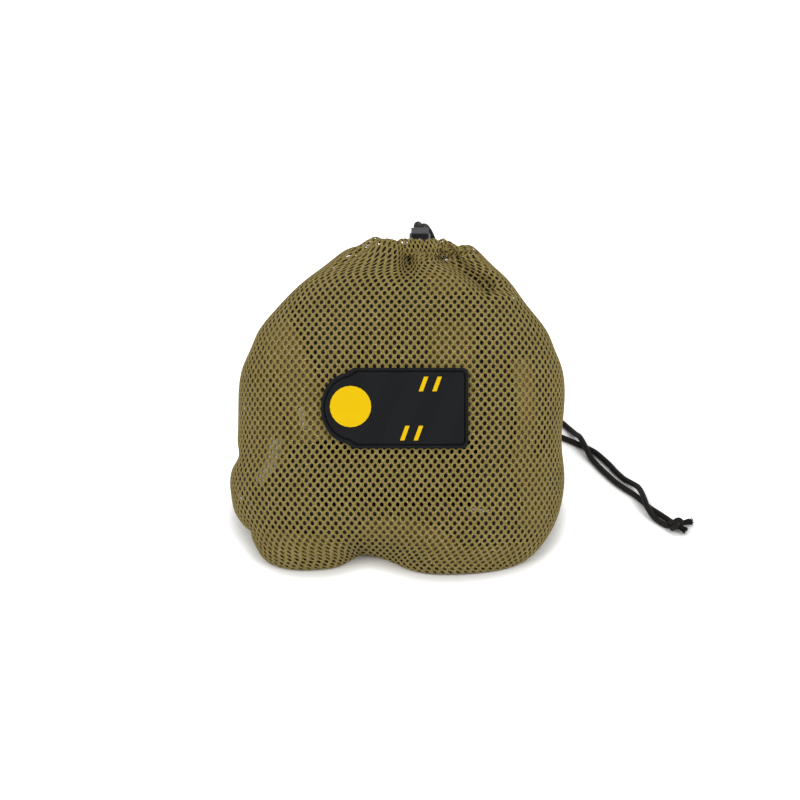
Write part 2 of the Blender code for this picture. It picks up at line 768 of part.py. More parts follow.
def strand_start(side):
    """Where a strand goes straight back from the neck, before the lock."""
    centre = lock_centre()
    return Vector((centre.x + side * STRAND_SPACING / 2,
                   centre.y - LOCK_LENGTH / 2 - FIT, centre.z))


def exit_bend(side):
    """The cord's short bend from the lock's face to the hem, side -1 or 1."""
    start = strand_start(side) - Vector((0.0, FIT, 0.0))
    straight = start - Vector((0.0, CORD_DIAMETER, 0.0))
    back = neck_back()
    bend = Vector((back.x + side * STRAND_SPACING * EXIT_BEND_SHARE,
                   (back.y + straight.y) / 2, (back.z + start.z) / 2))
    return [start, straight, bend]


def drawcord():
    """The cord inside the hem, from the front of the lock round the neck and back to it."""
    ring = [drawcord_place(a) for a in neck_angles(CORD_GAP_HALF_ANGLE, HEM_STEPS)]
    points = exit_bend(-1) + ring + exit_bend(1)[::-1]
    smooth = smooth_route(points, CORD_DIAMETER * CORD_STEP_SHARE)
    return tube("drawcord_in_hem", smooth, CORD_DIAMETER, BLACK_CORD)


def badge():
    """The moulded badge: a plate with a rim, a disc and four slanted bars in its recess."""
    face = -BAG_FRONT_FLAT - FIT - BADGE_THICKNESS / 2
    up = BADGE_HEIGHT_PLACE - BAG_FOOT_DROP
    turn = (math.pi / 2, 0.0, 0.0)
    plate = as_mesh(flat_outline("badge_plate", [badge_outline(0.0)], BADGE_THICKNESS,
                                 BLACK_RUBBER, (BADGE_X, face, up), turn, LEANING))
    recess_face = face - BADGE_THICKNESS / 2 + BADGE_RECESS
    cut_depth = BADGE_RECESS + OVERRUN
    recess = as_mesh(flat_outline("badge_recess_cut", [badge_outline(BADGE_RIM)], cut_depth,
                                  None, (BADGE_X, recess_face - cut_depth / 2, up), turn,
                                  LEANING))
    combine(plate, recess, "DIFFERENCE")
    disc_w = recess_face - FIT - DISC_RISE / 2
    rod("badge_disc", DISC_DIAMETER, DISC_RISE, YELLOW_RUBBER,
        (BADGE_X - DISC_FROM_CENTRE, disc_w, up + DISC_ABOVE_CENTRE), turn, LEANING)
    number = 0
    for pair_x, pair_up in STRIPE_PAIRS:
        for side in (-0.5, 0.5):
            number += 1
            slant = STRIPE_LENGTH * math.tan(STRIPE_SLANT) / 2
            half = STRIPE_LENGTH / 2
            wide = STRIPE_WIDTH / 2
            corners = ((-slant - wide, -half), (wide - slant, -half),
                       (slant + wide, half), (slant - wide, half))
            place = (BADGE_X + pair_x + side * STRIPE_PITCH,
                     recess_face - FIT - STRIPE_RISE / 2, up + pair_up)
            flat_outline(f"badge_stripe_{number}", [corners], STRIPE_RISE, YELLOW_RUBBER,
                         place, turn, LEANING)


def badge_outline(inset):
    """A plate round at the left, with small shoulders, and square at the right."""
    half = BADGE_LENGTH / 2 - inset
    high = BADGE_WIDTH / 2 - inset
    corner = BADGE_CORNER - inset / 2
    low = high - BADGE_SHOULDER
    round_x = BADGE_ROUND_END - half
    points = arc(half - corner, corner - high, corner, -90, 0, 4)
    points += arc(half - corner, high - corner, corner, 0, 90, 4)
    foot = round_x - BADGE_SHOULDER_FOOT
    top = round_x + BADGE_SHOULDER_TOP
    points += [(top, high), (foot, low)]
    for number in range(1, 12):
        angle = math.radians(90 + 180 * number / 12)
        points.append((round_x + BADGE_ROUND_END * math.cos(angle), low * math.sin(angle)))
    points += [(foot, -low), (top, -high)]
    return points


def cord_lock():
    """The spring lock: a body and a plunger with aligned slots for both strands."""
    centre = lock_centre()
    slot_width = STRAND_SPACING + CORD_DIAMETER + 2 * FIT
    plunger_width = slot_width + 2 * LOCK_WALL
    plunger_depth = LOCK_LENGTH - 2 * LOCK_WALL - 2 * FIT
    slot_half = CORD_DIAMETER / 2 + FIT
    body = box("cord_lock_body", (LOCK_WIDTH, LOCK_LENGTH, LOCK_OVER_CORD + LOCK_UNDER_CORD),
               BLACK_PLASTIC, centre + Vector((0.0, 0.0, (LOCK_OVER_CORD - LOCK_UNDER_CORD) / 2)),
               edge=LOCK_EDGE)
    floor = LOCK_WALL - LOCK_UNDER_CORD
    well_top = LOCK_OVER_CORD + OVERRUN
    well = box("lock_well_cut", (plunger_width + 2 * FIT, plunger_depth + 2 * FIT,
                                 well_top - floor), None,
               centre + Vector((0.0, 0.0, (well_top + floor) / 2)))
    combine(body, well, "DIFFERENCE")
    bore = box("lock_bore_cut", (slot_width, LOCK_LENGTH + OVERRUN, 2 * slot_half), None, centre)
    combine(body, bore, "DIFFERENCE")
    plunger_low = -slot_half - LOCK_WALL
    plunger_high = LOCK_OVER_CORD + PLUNGER_TRAVEL + PLUNGER_CAP
    middle = (plunger_low + plunger_high) / 2
    plunger = box("cord_lock_plunger", (plunger_width, plunger_depth,
                                        plunger_high - plunger_low), BLACK_PLASTIC,
                  centre + Vector((0.0, 0.0, middle)), edge=PLUNGER_EDGE)
    slot_high = slot_half + PLUNGER_TRAVEL
    slot = box("plunger_slot_cut", (slot_width, LOCK_LENGTH + OVERRUN, slot_half + slot_high),
               None, centre + Vector((0.0, 0.0, (slot_high - slot_half) / 2)))
    combine(plunger, slot, "DIFFERENCE")
    spring_low = floor + FIT
    spring_high = plunger_low - FIT
    outer = plunger_depth / 2 - FIT
    ring = ring_profile(outer, outer / 2, spring_high - spring_low, SPRING_CHAMFER)
    turned("cord_lock_spring", ring, STEEL,
           centre + Vector((0.0, 0.0, (spring_low + spring_high) / 2)))
    print("lock centre", tuple(round(c, 5) for c in centre), "spring foot",
          round(centre.z + spring_low, 5))


def tail_route(side):
    """The way of one strand from the back of the lock to the knot, side -1 or 1."""
    start = strand_start(side)
    straight = LOCK_LENGTH + LOCK_TRAVEL + STRAIGHT_AFTER_LOCK
    first = [start, start + Vector((0.0, straight / 2, 0.0)), start + Vector((0.0, straight, 0.0))]
    rest = TAIL_A_ROUTE if side < 0 else TAIL_B_ROUTE
    return first + [Vector(p) for p in rest]


def cord_tails():
    for side, name in ((-1, "drawcord_tail_a"), (1, "drawcord_tail_b")):
        points = smooth_route(tail_route(side), TAIL_STEP)
        for point in points:
            point.z = max(point.z, TAIL_FLOOR)
        length = sum((b - a).length for a, b in zip(points, points[1:]))
        print(name, len(points), "points, length", round(length, 4))
        tube(name, points, CORD_DIAMETER, BLACK_CORD)


def cord_knot():
    """The overhand knot that ties both strands, with its two cut ends."""
    ends = [tail_route(-1)[-1], tail_route(1)[-1]]
    middle = (ends[0] + ends[1]) / 2
    along = Vector((*KNOT_WAY_SHARES, 0.0)).normalized()
    radius = CORD_DIAMETER * KNOT_RADIUS_SHARE
    length = CORD_DIAMETER * KNOT_LENGTH_SHARE
    centre = middle + along * (length / 2 + FIT)
    centre.z = radius * math.cos(math.pi / ROUND_STEPS) + FIT
    turn = along.to_track_quat("Z", "Y").to_euler()
    top = [(radius * across, length * along_share) for across, along_share in KNOT_OUTLINE_SHARES]
    profile = top + [(across, -high) for across, high in top[-2::-1]]
    mesh = bpy.data.meshes.new("cord_knot")
    mesh.from_pydata([(r, 0.0, z) for r, z in profile],
                     [(i, i + 1) for i in range(len(profile) - 1)], [])
    knot = add_object("cord_knot", mesh, BLACK_CORD, centre, turn)
    screw = knot.modifiers.new("turn", "SCREW")
    screw.steps = ROUND_STEPS
    screw.render_steps = ROUND_STEPS
    screw.use_merge_vertices = True
    screw.merge_threshold = WELD
    for number, spread in enumerate(KNOT_END_TURNS):
        away = Euler((0.0, 0.0, spread)).to_matrix() @ along
        stop = centre + away * (length / 2 + CORD_DIAMETER * KNOT_END_SHARE)
        stop.z = CORD_DIAMETER / 2 + FIT
        stub = as_mesh(tube(f"knot_end_{number}", [centre, centre.lerp(stop, 0.5), stop],
                            CORD_DIAMETER * KNOT_END_WIDTH_SHARE, None))
        combine(knot, stub, "UNION")


def hank(side, name):
    """One strap, wound on edge into a flat oval, standing on the bag's floor."""
    inner_length = HANK_LENGTH - 2 * HANK_LOOPS * HANK_PITCH
    inner_depth = HANK_DEPTH - 2 * HANK_LOOPS * HANK_PITCH
    path = []
    for step in range(HANK_LOOPS * HANK_LOOP_POINTS + 1):
        turns = step / HANK_LOOP_POINTS
        angle = 2 * math.pi * turns
        grow = HANK_PITCH * turns
        radius = inner_depth / 2 + grow - WEBBING / 2
        straight = (inner_length - inner_depth) / 2
        reach = math.cos(angle) * HANK_STRAIGHT_SHARE
        shift = straight * max(min(reach, 1.0), -1.0)
        path.append((shift + radius * math.cos(angle), radius * math.sin(angle)))
    least = min((Vector(path[i]) - Vector(path[j])).length
                for i in range(len(path)) for j in range(i + HANK_LOOP_POINTS // 2, len(path)))
    print(name, "least gap between turns", round(least - WEBBING, 5))
    floor = BAG_CLOTH + FIT
    webbing(name, path, HANK_WIDTH, WEBBING, OLIVE_WEBBING,
            (side * HANK_X, HANK_Y + BAG_AXIS_Y, floor + HANK_WIDTH / 2), cyclic=False)


def strap_loop(side, name):
    """The doubled strap that runs through its buckle."""
    half = (STRAP_LOOP_TOP - STRAP_LOOP_FOOT) / 2 - STRAP_LOOP_HALF_GAP
    centre = (side * STRAP_LOOP_X, STRAP_LOOP_W, (STRAP_LOOP_TOP + STRAP_LOOP_FOOT) / 2)
    turn = (math.pi / 2, 0.0, math.pi / 2)
    webbing(name, racetrack(half, STRAP_LOOP_HALF_GAP), STRAP_WIDTH, WEBBING, OLIVE_WEBBING,
            centre, turn, LEANING)


def cam_buckle(side, tag):
    """A cam buckle: frame, pin, lever with its cam, and the spring beside the cam."""
    x = side * STRAP_LOOP_X
    plate_w = STRAP_LOOP_W
    outer = STRAP_WIDTH / 2 + FIT + BUCKLE_CHEEK
    pin_w = plate_w - CAM_PIN_OUT
    frame = box(f"cam_frame_{tag}", (2 * outer, BUCKLE_PLATE, BUCKLE_LENGTH), STEEL,
                (x, plate_w, BUCKLE_PLACE), parent=LEANING)
    for end in (-1, 1):
        cheek = box(f"cheek_{tag}_{end}", (BUCKLE_CHEEK, BUCKLE_HEIGHT, BUCKLE_LENGTH / 2), None,
                    (x + end * (outer - BUCKLE_CHEEK / 2),
                     plate_w + BUCKLE_PLATE / 2 - BUCKLE_HEIGHT / 2, BUCKLE_PLACE),
                    parent=LEANING)
        combine(frame, cheek, "UNION")
    pin_hole = rod(f"pin_hole_{tag}", CAM_PIN_DIAMETER + 2 * FIT, 2 * outer + OVERRUN, None,
                   (x, pin_w, BUCKLE_PLACE), (0.0, math.pi / 2, 0.0), LEANING)
    combine(frame, pin_hole, "DIFFERENCE")
    axis = empty(f"cam_axis_{tag}", (x, pin_w, BUCKLE_PLACE), parent=LEANING)
    rod(f"cam_pin_{tag}", CAM_PIN_DIAMETER, 2 * outer, STEEL, (0, 0, 0),
        (0.0, math.pi / 2, 0.0), axis)
    hub = CAM_HUB_DIAMETER / 2
    thick = CAM_TAIL_THICKNESS
    outline = arc(0.0, 0.0, hub, -60, -15, 3) + [(CAM_NOSE, 0.0), (CAM_NOSE, hub * CAM_NOSE_SHARE)]
    outline += arc(0.0, 0.0, hub, 50, 180, 8)
    outline += [(-hub, -CAM_TAIL + thick), (-hub + thick / 2, -CAM_TAIL),
                (-hub + thick, -CAM_TAIL + thick / 2), (-hub + thick * CAM_ROOT_SHARE, -hub)]
    hole = arc(0.0, 0.0, CAM_PIN_DIAMETER / 2 + FIT, 0, 345, 15)
    lever_x = -CAM_SPRING_WIDTH / 2
    flat_outline(f"cam_lever_{tag}", [outline, hole], CAM_WIDTH, BLACK_PLASTIC,
                 (lever_x, 0.0, 0.0), (math.pi / 2, 0.0, math.pi / 2), axis)
    spring_x = lever_x + CAM_WIDTH / 2 + FIT + CAM_SPRING_WIDTH / 2
    ring = ring_profile(hub * CAM_SPRING_SHARE, CAM_PIN_DIAMETER / 2 + FIT, CAM_SPRING_WIDTH, FIT)
    turned(f"cam_spring_{tag}", ring, STEEL, (spring_x, 0.0, 0.0), (0.0, math.pi / 2, 0.0), axis)
    place = axis_in_world((x, pin_w, BUCKLE_PLACE))
    print("cam axis", tag, place)


def axis_in_world(point):
    return tuple(round(c, 5) for c in to_world(point))


def handle(tag, place):
    """A handle: a foam grip on a tube between two caps, on a webbing triangle."""
    w, up = place
    axis = empty(f"grip_axis_{tag}", (0.0, w, up), parent=LEANING)
    across = (0.0, math.pi / 2, 0.0)
    bore = TUBE_DIAMETER / 2 + FIT
    tube_length = GRIP_LENGTH + 2 * (CAP_WIDTH + FIT)
    turned(f"handle_foam_{tag}", ring_profile(GRIP_DIAMETER / 2, bore, GRIP_LENGTH,
                                             CAP_WIDTH / 3), BLACK_FOAM, (0, 0, 0), across, axis)
    turned(f"handle_tube_{tag}", ring_profile(TUBE_DIAMETER / 2, TUBE_DIAMETER / 2 - TUBE_WALL,
                                             tube_length, FIT), BLACK_PLASTIC, (0, 0, 0),
           across, axis)
    for side, word in ((-1, "left"), (1, "right")):
        cap_x = side * (GRIP_LENGTH / 2 + FIT + CAP_WIDTH / 2)
        turned(f"handle_cap_{tag}_{word}", ring_profile(CAP_DIAMETER / 2, bore, CAP_WIDTH,
                                                       CAP_WIDTH / 4), BLACK_PLASTIC,
               (cap_x, 0.0, 0.0), across, axis)
    corner = HANDLE_WEB_CORNER
    half = GRIP_LENGTH / 2 + FIT + CAP_WIDTH + HANDLE_WEB_CLEARANCE
    top = HANDLE_WEB_HEIGHT
    tilt = math.degrees(math.atan2(top - corner, half - corner))
    path = arc(half - corner, corner, corner, -90, 90 - tilt, 6)
    path += arc(0.0, top - corner, HANDLE_WEB_TOP, 90 - tilt, 90 + tilt, 6)
    path += arc(corner - half, corner, corner, 90 + tilt, 270, 6)
    webbing(f"handle_webbing_{tag}", path, HANDLE_WEB_WIDTH, WEBBING, OLIVE_WEBBING,
            (0.0, w, up), (math.pi / 2, 0.0, 0.0), LEANING)
    reach = half + WEBBING / 2 + CRADLE_THICKNESS / 2 + FIT
    bend = CRADLE_BEND
    cradle = [(reach, corner)]
    cradle += arc(reach - bend, bend - CRADLE_DROP, bend, 0, -90, 6)
    cradle += arc(bend - reach, bend - CRADLE_DROP, bend, 270, 180, 6)
    cradle.append((-reach, corner))
    webbing(f"foot_cradle_{tag}", cradle, CRADLE_WIDTH, CRADLE_THICKNESS, BLACK_RUBBER,
            (0.0, w, up), (math.pi / 2, 0.0, 0.0), LEANING, cyclic=False)
    print("grip axis", tag, axis_in_world((0.0, w, up)))


def carabiner():
    """The snap hook: a bent rod with a sprung gate on its right side."""
    half = CARABINER_WIDTH / 2 - CARABINER_ROD / 2
    tall = CARABINER_LENGTH / 2 - CARABINER_ROD / 2
    bend = half * CARABINER_BEND_SHARE
    gate_half = tall - bend
    route = [(half, gate_half + FIT)]
    route += arc(half - bend, tall - bend, bend, 0, 90, 6)[1:]
    route += arc(bend - half, tall - bend, bend, 90, 180, 6)
    route += arc(bend - half, bend - tall, bend, 180, 270, 6)
    route += arc(half - bend, bend - tall, bend, 270, 360, 6)[:-1]
    route.append((half, -gate_half - FIT))
    points = [Vector((x, CARABINER_W, CARABINER_PLACE + y)) for x, y in route]
    body = as_mesh(tube("carabiner_body", points, CARABINER_ROD, ALUMINIUM, LEANING, sides=3))
    pin_up = GATE_DIAMETER * GATE_PIN_SHARE - gate_half
    hinge = (half, CARABINER_W, CARABINER_PLACE + pin_up)
    fork = box("fork_block", (CARABINER_ROD, CARABINER_ROD, GATE_DIAMETER), None, hinge,
               parent=LEANING)
    combine(body, fork, "UNION")
    slot_width = GATE_TONGUE + GATE_SPRING_WIDTH + 3 * FIT
    fork_slot = box("fork_slot", (CARABINER_ROD + OVERRUN, slot_width, GATE_DIAMETER + 2 * FIT),
                    None, (half, CARABINER_W, CARABINER_PLACE + pin_up + FIT), parent=LEANING)
    combine(body, fork_slot, "DIFFERENCE")
    across = (math.pi / 2, 0.0, 0.0)
    hole = rod("gate_pin_hole", GATE_PIN_DIAMETER + 2 * FIT, CARABINER_ROD + OVERRUN, None,
               hinge, across, LEANING)
    combine(body, hole, "DIFFERENCE")
    axis = empty("gate_axis", hinge, parent=LEANING)
    gate_low = GATE_DIAMETER * GATE_SHOULDER_SHARE
    gate_high = 2 * gate_half - GATE_DIAMETER * GATE_PIN_SHARE - FIT
    gate = rod("carabiner_gate", GATE_DIAMETER, gate_high - gate_low, ALUMINIUM,
               (0.0, 0.0, (gate_high + gate_low) / 2), parent=axis)
    tongue_low = -GATE_DIAMETER * TONGUE_FOOT_SHARE
    tongue_high = gate_low + FIT * 4
    tongue_w = (GATE_TONGUE - slot_width) / 2 + FIT
    tongue = box("gate_tongue", (GATE_DIAMETER * TONGUE_WIDTH_SHARE, GATE_TONGUE,
                                 tongue_high - tongue_low), None,
                 (0.0, tongue_w, (tongue_high + tongue_low) / 2), parent=axis)
    combine(gate, tongue, "UNION")
    bore = GATE_PIN_DIAMETER + 2 * FIT
    gate_hole = rod("gate_eye", bore, GATE_DIAMETER + OVERRUN, None, (0, 0, 0), across, axis)
    combine(gate, gate_hole, "DIFFERENCE")
    rod("gate_pin", GATE_PIN_DIAMETER, CARABINER_ROD, STEEL, (0, 0, 0), across, axis)
    ring = ring_profile(GATE_SPRING_DIAMETER / 2, bore / 2, GATE_SPRING_WIDTH, FIT)
    turned("gate_spring", ring, STEEL, (0.0, (slot_width - GATE_SPRING_WIDTH) / 2 - FIT, 0.0),
           across, axis)
    print("gate axis", axis_in_world(hinge))


def anchor_strap():
    """The anchor's webbing loop, hung in the snap hook."""
    bar = CARABINER_PLACE - CARABINER_LENGTH / 2 + CARABINER_ROD / 2
    radius = CARABINER_ROD / 2 + FIT * 2 + WEBBING / 2
    half = (bar - ANCHOR_FOOT) / 2
    webbing("anchor_strap", racetrack(half, radius, 8), ANCHOR_WIDTH, WEBBING, BLACK_WEBBING,
            (0.0, CARABINER_W, ANCHOR_FOOT + half), (math.pi / 2, 0.0, math.pi / 2), LEANING)


mesh_bag()
neck_hem()
drawcord()
badge()
cord_lock()
cord_tails()
cord_knot()
hank(-1, "strap_hank_left")
hank(1, "strap_hank_right")
strap_loop(-1, "strap_loop_left")
strap_loop(1, "strap_loop_right")
cam_buckle(-1, "left")
cam_buckle(1, "right")
handle("front", FRONT_HANDLE)
handle("rear", REAR_HANDLE)
carabiner()
anchor_strap()
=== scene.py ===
# %% [markdown]
# This lesson dresses a suspension trainer that is packed in its mesh drawstring bag.
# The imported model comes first, because every piece sits where its solid is.
# All lengths are in metres, +Z is up, and the bag's front faces -Y.
# The bag leans back, so many pieces are made in its leaning frame and then turned.

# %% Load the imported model
import math
import random

import bpy
import numpy as np
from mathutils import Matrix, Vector


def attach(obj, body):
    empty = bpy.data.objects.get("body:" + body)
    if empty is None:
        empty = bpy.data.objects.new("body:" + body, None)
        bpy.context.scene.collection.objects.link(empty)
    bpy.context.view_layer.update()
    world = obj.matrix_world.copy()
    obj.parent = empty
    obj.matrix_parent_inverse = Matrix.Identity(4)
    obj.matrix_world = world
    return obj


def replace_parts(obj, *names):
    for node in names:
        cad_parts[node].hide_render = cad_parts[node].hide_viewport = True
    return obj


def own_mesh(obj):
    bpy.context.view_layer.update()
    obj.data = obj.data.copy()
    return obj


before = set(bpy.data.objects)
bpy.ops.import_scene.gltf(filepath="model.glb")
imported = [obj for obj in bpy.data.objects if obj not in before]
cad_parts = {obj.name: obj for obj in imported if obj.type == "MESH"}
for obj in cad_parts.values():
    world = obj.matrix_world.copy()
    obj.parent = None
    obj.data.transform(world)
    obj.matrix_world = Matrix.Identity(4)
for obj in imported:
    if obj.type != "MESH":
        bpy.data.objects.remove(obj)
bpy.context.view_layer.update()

# %% [markdown]
# The photograph was taken with a long lens from 35 degrees above the table.
# The bag leans back by the same angle, so its front faces the lens squarely.
# A camera can be aimed with a constraint, but a plain place and turn is easier to check.

# %% Aim the camera
LEAN = math.radians(35.0)
CAMERA_PLACE = (0.0019, -1.2913, 0.9945)
SENSOR_WIDTH = 36.0
FOCAL_LENGTH = 94.7
lens = bpy.data.cameras.new("photo_lens")
lens.sensor_width = SENSOR_WIDTH
lens.lens = FOCAL_LENGTH
camera = bpy.data.objects.new("photo_camera", lens)
camera.location = CAMERA_PLACE
camera.rotation_euler = (math.pi / 2 - LEAN, 0.0, 0.0)
bpy.context.scene.collection.objects.link(camera)
bpy.context.scene.camera = camera
print("camera", lens.lens, "mm at", CAMERA_PLACE)

# %% [markdown]
# Colours are easiest to read as the hex codes of a paint chart, which are sRGB.
# A renderer adds light in linear values, so one function turns the one into the other.
# A second one adds a node with its settings and links.

# %% Colours, nodes and pieces
def linear(code):
    """A linear colour from its sRGB hex code."""
    parts = [int(code[i:i + 2], 16) / 255 for i in (1, 3, 5)]
    values = [c / 12.92 if c <= 0.04045 else ((c + 0.055) / 1.055) ** 2.4 for c in parts]
    return (*values, 1.0)


def add(tree, kind, inputs=(), **settings):
    """Add a node with its settings. Its inputs are numbers, or sockets or nodes to link."""
    made = tree.nodes.new("ShaderNode" + kind)
    for name, value in settings.items():
        setattr(made, name, value)
    for name, value in dict(inputs).items():
        if isinstance(value, bpy.types.Node):
            value = value.outputs[0]
        if isinstance(value, bpy.types.NodeSocket):
            tree.links.new(value, made.inputs[name])
        else:
            made.inputs[name].default_value = value
    return made


def finish_of(name, roughness, ior=1.5, metallic=0.0, sheen=0.0, specular=0.5):
    """A new material, and its tree."""
    material = bpy.data.materials.new(name)
    material.use_nodes = True
    inputs = material.node_tree.nodes["Principled BSDF"].inputs
    inputs["Roughness"].default_value = roughness
    inputs["Metallic"].default_value = metallic
    inputs["Sheen Weight"].default_value = sheen
    inputs["Specular IOR Level"].default_value = specular
    if not metallic:
        inputs["IOR"].default_value = ior
    return material, material.node_tree


def piece_of(name, points, faces, material, body):
    """A smooth mesh piece in the row frame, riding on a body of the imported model."""
    mesh = bpy.data.meshes.new(name)
    mesh.from_pydata([tuple(p) for p in points], [], [tuple(f) for f in faces])
    mesh.shade_smooth()
    mesh.materials.append(material)
    made = bpy.data.objects.new(name, mesh)
    bpy.context.scene.collection.objects.link(made)
    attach(made, body)
    return made


# %% [markdown]
# The drawcord is a round braided polyester cord, 4.4 mm thick.
# Its two strands leave the spring lock behind the neck, fall to the table and run round
# the bag's right side to one knot. A curve with a bevel would do, but a mesh tube can carry
# the places along and round it, and the braid's pattern is drawn from those.

# %% Points, frames and the sweep
def smooth_route(points, step):
    """Points at even steps along a Catmull-Rom curve through the given ones."""
    route = np.array(points, float)
    route = np.vstack([2 * route[0] - route[1], route, 2 * route[-1] - route[-2]])
    t = np.linspace(0, 1, 17)[:-1, None]
    fine = []
    for a, b, c, d in zip(route, route[1:], route[2:], route[3:]):
        fine.append(0.5 * (2 * b + (c - a) * t + (2 * a - 5 * b + 4 * c - d) * t ** 2
                           + (3 * b - a - 3 * c + d) * t ** 3))
    fine = np.vstack(fine + [route[-2:-1]])
    return evenly(fine, max(2, round(length_of(fine) / step)))


def along_of(points):
    """How far along a line each of its points is."""
    steps = np.linalg.norm(np.diff(points, axis=0), axis=1)
    return np.concatenate([[0.0], np.cumsum(steps)])


def length_of(points):
    return float(np.linalg.norm(np.diff(points, axis=0), axis=1).sum())


def evenly(points, count):
    """The same line, cut into a number of equal steps."""
    along = along_of(points)
    places = np.linspace(0.0, along[-1], count + 1)
    return np.stack([np.interp(places, along, points[:, i]) for i in range(3)], axis=1)


def unit(vectors):
    return vectors / np.maximum(np.linalg.norm(vectors, axis=-1, keepdims=True), 1e-12)


def ways_along(points, closed=False):
    """The direction of a line at each of its points."""
    if closed:
        return unit(np.roll(points, -1, axis=0) - np.roll(points, 1, axis=0))
    return unit(np.gradient(points, axis=0))


def carried_sides(points, first):
    """Side directions that turn as little as they can along a line."""
    ways = ways_along(points)
    sides = [unit(np.cross(ways[0], np.cross(first, ways[0])))]
    for way in ways[1:]:
        sides.append(unit(sides[-1] - way * np.dot(sides[-1], way)))
    return np.array(sides)


def bands(rows, turns, start=0, closed=False, caps=False):
    """Faces between each ring of points and the next, and over both ends if asked."""
    faces = []
    for i in range(rows if closed else rows - 1):
        for j in range(turns):
            k, n = (j + 1) % turns, (i + 1) % rows
            faces.append((start + i * turns + j, start + i * turns + k, start + n * turns + k,
                          start + n * turns + j))
    if caps:
        last = start + (rows - 1) * turns
        faces += [tuple(range(start, start + turns))[::-1], tuple(range(last, last + turns))]
    return faces


def cell(a, b, c, d):
    """The places of a face's corners, from a to b along and from c to d round."""
    return [(a, c), (a, d), (b, d), (b, c)]


def keep_places(made, places):
    """Keep each corner's place along and round a piece, for its finish to read."""
    kept = made.data.attributes.new("place_on", "FLOAT2", "CORNER")
    kept.data.foreach_set("vector", np.array(places, float).ravel())


def sweep(name, points, sides, profile, material, body, closed=False):
    """A skin round a line. Its corners keep how far along and round it they are."""
    ways = ways_along(points, closed)
    sides = unit(sides - ways * np.sum(sides * ways, axis=1, keepdims=True))
    ups = np.cross(sides, ways)
    profile = np.array(profile, float)
    rings = (points[:, None] + profile[None, :, :1] * sides[:, None]
             + profile[None, :, 1:] * ups[:, None])
    around = along_of(np.vstack([profile, profile[:1]]))
    along = along_of(np.vstack([points, points[:1]]))
    rows, turns = rings.shape[:2]
    places = [corner for i in range(rows if closed else rows - 1) for j in range(turns)
              for corner in cell(along[i], along[i + 1], around[j], around[j + 1])]
    if not closed:
        places += [(0.0, around[j]) for j in range(turns)][::-1]
        places += [(along[rows - 1], around[j]) for j in range(turns)]
    made = piece_of(name, rings.reshape(-1, 3), bands(rows, turns, closed=closed,
                                                      caps=not closed), material, body)
    keep_places(made, places)
    return made


def circle(radius, count):
    """A round profile, anticlockwise."""
    turns = np.arange(count) * 2 * math.pi / count
    return np.stack([radius * np.cos(turns), radius * np.sin(turns)], axis=1)


# %% [markdown]
# A braid shows two families of flat strand groups that cross over and under each other.
# Its cells are about 1.4 mm long here. The real ones are a little finer, which would be
# lost at this size in the picture, so they are drawn slightly coarse.
# Most finishes here end alike, in two tones and a relief, so one function puts those on
# the shader. Another reads a point's place on its piece, which patterns are drawn from.

# %% What the finishes share
def two_tones(tree, share, low, high, height, strength, depth, roughness=None):
    """Put on the shader a colour from low to high by a share, and a relief by a height."""
    shader = tree.nodes["Principled BSDF"]
    low, high = (linear(c) if isinstance(c, str) else c for c in (low, high))
    colour = add(tree, "Mix", {0: share, 6: low, 7: high}, data_type="RGBA")
    relief = add(tree, "Bump", {"Strength": strength, "Distance": depth, "Height": height})
    tree.links.new(colour.outputs[2], shader.inputs["Base Color"])
    tree.links.new(relief.outputs[0], shader.inputs["Normal"])
    if roughness is not None:
        tree.links.new(roughness.outputs[0], shader.inputs["Roughness"])


def places_on(tree):
    """How far along a piece a point is, and how far round or across it, as two sockets."""
    place = add(tree, "Attribute", attribute_name="place_on")
    split = add(tree, "SeparateXYZ", {0: place.outputs["Vector"]})
    return split.outputs[0], split.outputs[1]


# %% Braided polyester cord, black, dyed in the yarn
CORD = 0.0044
BRAID_CELL = 0.0014
BRAIDS_ROUND = 8


def braided_cord():
    """Black filament yarn: deep black hollows and satin crowns, painted in as shade and highlight
    on each crossing.
    """
    material, tree = finish_of("braided_polyester_cord", 0.62, 1.52, specular=0.17)
    far, about = places_on(tree)
    along = add(tree, "Math", {0: far, 1: math.pi / BRAID_CELL}, operation="MULTIPLY")
    around = add(tree, "Math", {0: about, 1: BRAIDS_ROUND / CORD}, operation="MULTIPLY")
    crowns = []
    for way in ("ADD", "SUBTRACT"):
        lean = add(tree, "Math", {0: along, 1: around}, operation=way)
        crowns.append(add(tree, "Math", {0: lean}, operation="SINE"))
    both = add(tree, "Math", {0: crowns[0], 1: crowns[1]}, operation="MULTIPLY")
    height = add(tree, "MapRange", {"Value": both, "From Min": -1.0})
    fibre = add(tree, "TexNoise", {"Scale": 2600.0, "Detail": 2.0})
    # Painted shade and highlight: the colour runs from near black in the hollows to lighter on
    # the crowns, broken by random fibre noise.
    tone = add(tree, "Math", {0: height, 1: fibre}, operation="MULTIPLY")
    two_tones(tree, tone, "#050404", "#302B24", height, 0.8, 0.0004)
    return material


BRAID = braided_cord()
print("braid cell", BRAID_CELL * 1000, "mm")

# %% [markdown]
# Each strand's route repeats that of its solid. Points that lie on the table leave out their
# height, which is the same for all: half the cord's thickness and a hair.

